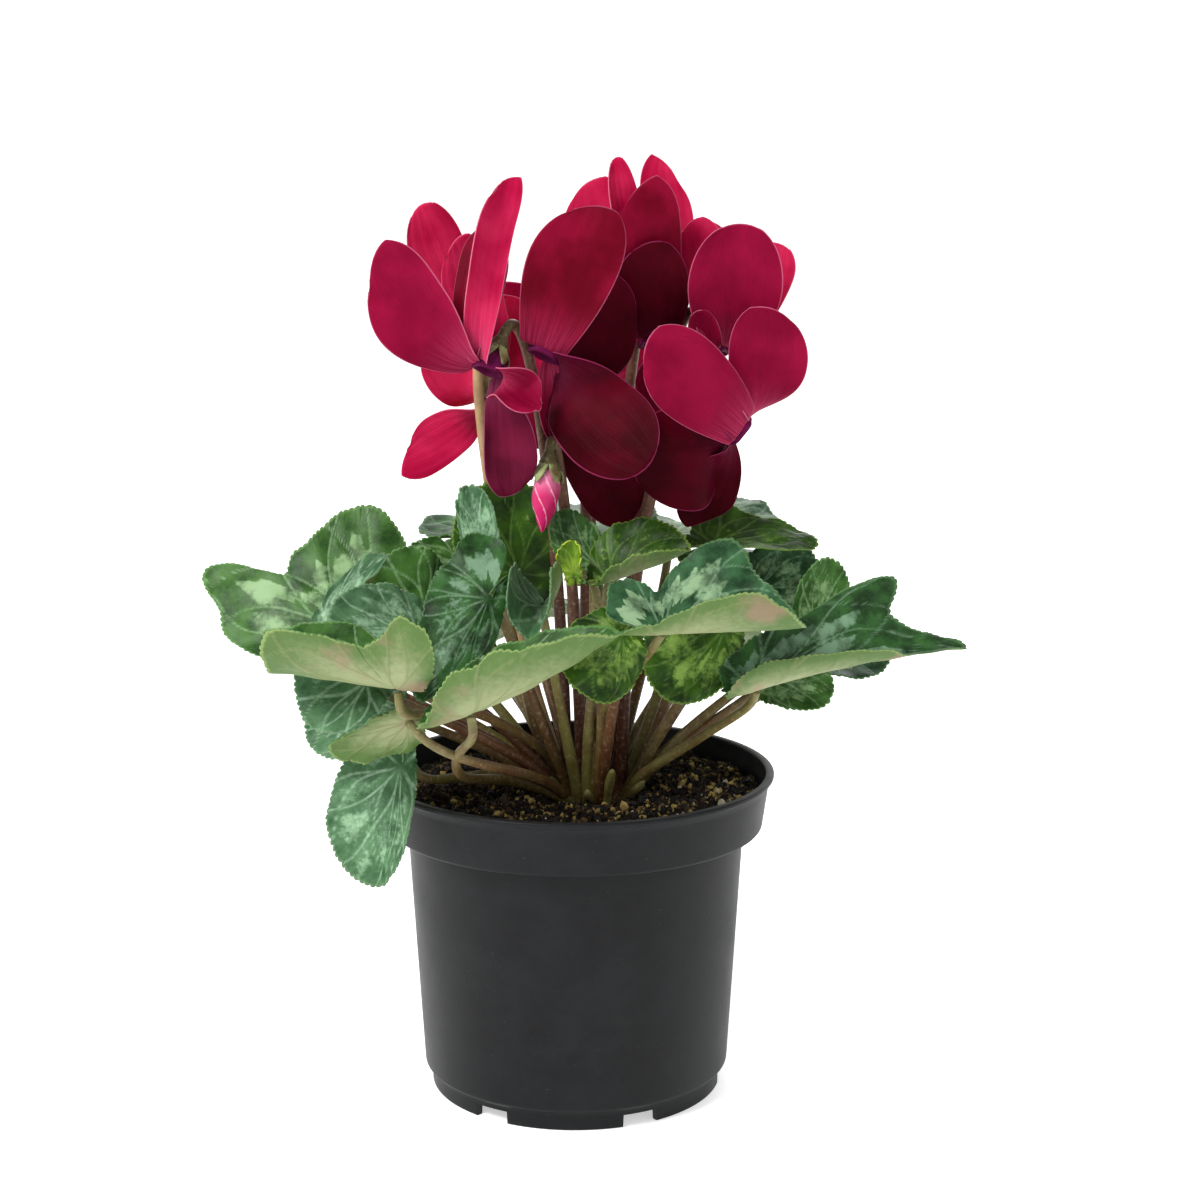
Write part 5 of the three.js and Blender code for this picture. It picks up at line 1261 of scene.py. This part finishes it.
def sepals(seat, direction, radius, length):
    """Five sepals that lie against the flower: each is a pointed half-ellipse bent round the axis, its
    half-angle 0.6 (1 - s^1.7) radians, and its tip stands off a little."""
    parts = []
    rows, columns = 14, 8
    s = np.linspace(0, 0.97, rows)[:, None]
    v = np.linspace(-1, 1, columns + 1)[None]
    for i in range(5):
        turn = 2 * np.pi / 5 * i + 0.6 * (1 - s**1.7) * v
        shape = radius * (0.72 + 0.5 * smooth(0, 0.7, s)) + 0.5 * s**3
        outer, inner = (round_grid(r, turn, length * s - 1.5) for r in (shape, shape - 0.5))
        ring = laid(np.concatenate([outer, inner[:, ::-1]], axis=1), seat, direction)
        parts.append(dict(points=ring.reshape(-1, 3), faces=sheet_faces(rows, ring.shape[1]), slot=1))
    return parts


def make_flower_stalk(name, seat, direction):
    """A flower's stalk: a cubic Bezier from the crown up and over in a hook to the calyx, whose ring is
    the end of the same skin."""
    seat = vec(seat)
    end = seat - CALYX_LENGTH * direction
    x, y = STALK_ROOTS[name]
    start = vec((CROWN[0] + x, CROWN[1] + y, 96.5))
    height = end[2] - start[2]
    lean = STALK_LEAN.get(name, (0, 0))
    control = (start, start + (*lean, 0.45 * height), end - 0.17 * height * direction, end)
    steps = 1 - (1 - np.linspace(0, 1, 60)) ** 1.5
    path = bezier(control, steps)[0]
    path = np.concatenate([path, [seat - 0.35 * CALYX_LENGTH * direction, seat]])
    low, high = FLOWER_STALK_RADIUS
    radii = low + (high - low) * np.append(steps, [1, 1])
    radii[-2:] = 3.0, 3.2
    parts = [tube(path, radii, 14, PALE_STALKS.get(name, 0)), *sepals(seat, direction, 4.1, 6.5)]
    piece = mesh_object("scape_" + name, parts, [FLOWER_STALK, SEPAL])
    outwards(piece)
    on_root(piece, "flower_stalk_" + name)


def make_bud():
    """The bud: a spindle whose section has five ridges that wind round it, a third of a turn from top
    to tip; each ridge is steep on one side, as one petal's edge lies on the next."""
    top, tip = vec(BUD["top"]), vec(BUD["tip"])
    length = np.linalg.norm(tip - top)
    s = np.linspace(0.01, 0.995, 48)[:, None]
    stations = (0, 0.02, 0.12, 0.3, 0.45, 0.62, 0.86, 1)
    radius = BUD_RADIUS * np.interp(s, stations, (0.3, 0.6, 0.86, 1, 1, 0.85, 0.42, 0.05))
    angle = np.linspace(0, 2 * np.pi, 90, endpoint=False)[None]
    ridge = ((angle / (2 * np.pi) + 0.45 * s) * 5) % 1
    radius = radius * (0.93 + 0.11 * ridge**2)
    points, faces = skin(laid(round_grid(radius, angle, length * s), top, tip - top))
    marks = skin_values(np.stack(np.broadcast_arrays(ridge, s, 0 * ridge), axis=-1))
    part = dict(points=points, faces=faces, marks=marks)
    on_root(mesh_object("bud_petals", [part], [BUD_PETAL]), "bud")


# ---------- studio ----------
def make_studio():
    """A pale floor that curves up into a backdrop, a large soft light at the upper left, weaker ones at
    the right and behind, and a white surround."""
    angle = np.linspace(0, np.pi / 2, 24)
    run = np.concatenate([[PAPER_FRONT], SWEEP_START + SWEEP * np.sin(angle), [SWEEP_START + SWEEP]])
    rise = np.concatenate([[0.0], SWEEP - SWEEP * np.cos(angle), [PAPER_TOP]])
    x = np.linspace(-PAPER_HALF_WIDTH, PAPER_HALF_WIDTH, 9)
    grid = np.stack(np.broadcast_arrays(x[None], run[:, None], rise[:, None]), axis=-1) / MM
    r, c = np.meshgrid(np.arange(len(run) - 1), np.arange(len(x) - 1), indexing="ij")
    a = (r * len(x) + c).ravel()
    faces = np.stack([a, a + 1, a + 1 + len(x), a + len(x)], axis=1)
    paper = new_material("lit white paper", {
        "Base Color": "#f4f4f4", "Roughness": 0.9, "Specular IOR Level": 0.1,
        "Emission Color": "#ffffff", "Emission Strength": PAPER_GLOW,
    })
    mesh_object("floor", [dict(points=grid.reshape(-1, 3), faces=[faces])], [paper])
    world = bpy.data.worlds.new("surround")
    bpy.context.scene.world = world
    world.use_nodes = True
    surround = world.node_tree.nodes["Background"].inputs
    surround["Color"].default_value = (1, 1, 1, 1)
    surround["Strength"].default_value = SURROUND_LIGHT
    for name, place, size, power in LIGHTS:
        light = bpy.data.lights.new(name, "AREA")
        light.shape, light.size, light.energy = "DISK", size, power
        lamp = bpy.data.objects.new(name, light)
        lamp.location = place
        aim = Vector(LIGHT_AIM) - lamp.location
        lamp.rotation_euler = aim.to_track_quat("-Z", "Y").to_euler()
        bpy.context.collection.objects.link(lamp)
    camera = bpy.data.objects.new("camera", bpy.data.cameras.new("camera"))
    camera.data.lens, camera.data.sensor_width = CAMERA_LENS, CAMERA_SENSOR
    camera.location = CAMERA_PLACE
    camera.rotation_euler = (math.radians(90 - CAMERA_DOWN), 0, 0)
    bpy.context.collection.objects.link(camera)
    bpy.context.scene.camera = camera
    bpy.context.scene.view_settings.view_transform = "Standard"


make_studio()
make_pot()
make_soil()
make_crumbs()
make_tuber()
make_leaf_stalks()
for number, (name, leaf) in enumerate(LEAVES.items()):
    make_leaf(name, leaf, number)
for number, (name, bloom) in enumerate(BLOOMS.items()):
    mouth = unit(vec(bloom["mouth"]))
    make_bloom(name, bloom, number)
    make_flower_stalk(name, vec(bloom["throat"]) - (THROAT_DEPTH + GAP) * mouth, mouth)
down = unit(vec(BUD["tip"]) - vec(BUD["top"]))
make_flower_stalk("bud", vec(BUD["top"]) - GAP * down, down)
make_bud()
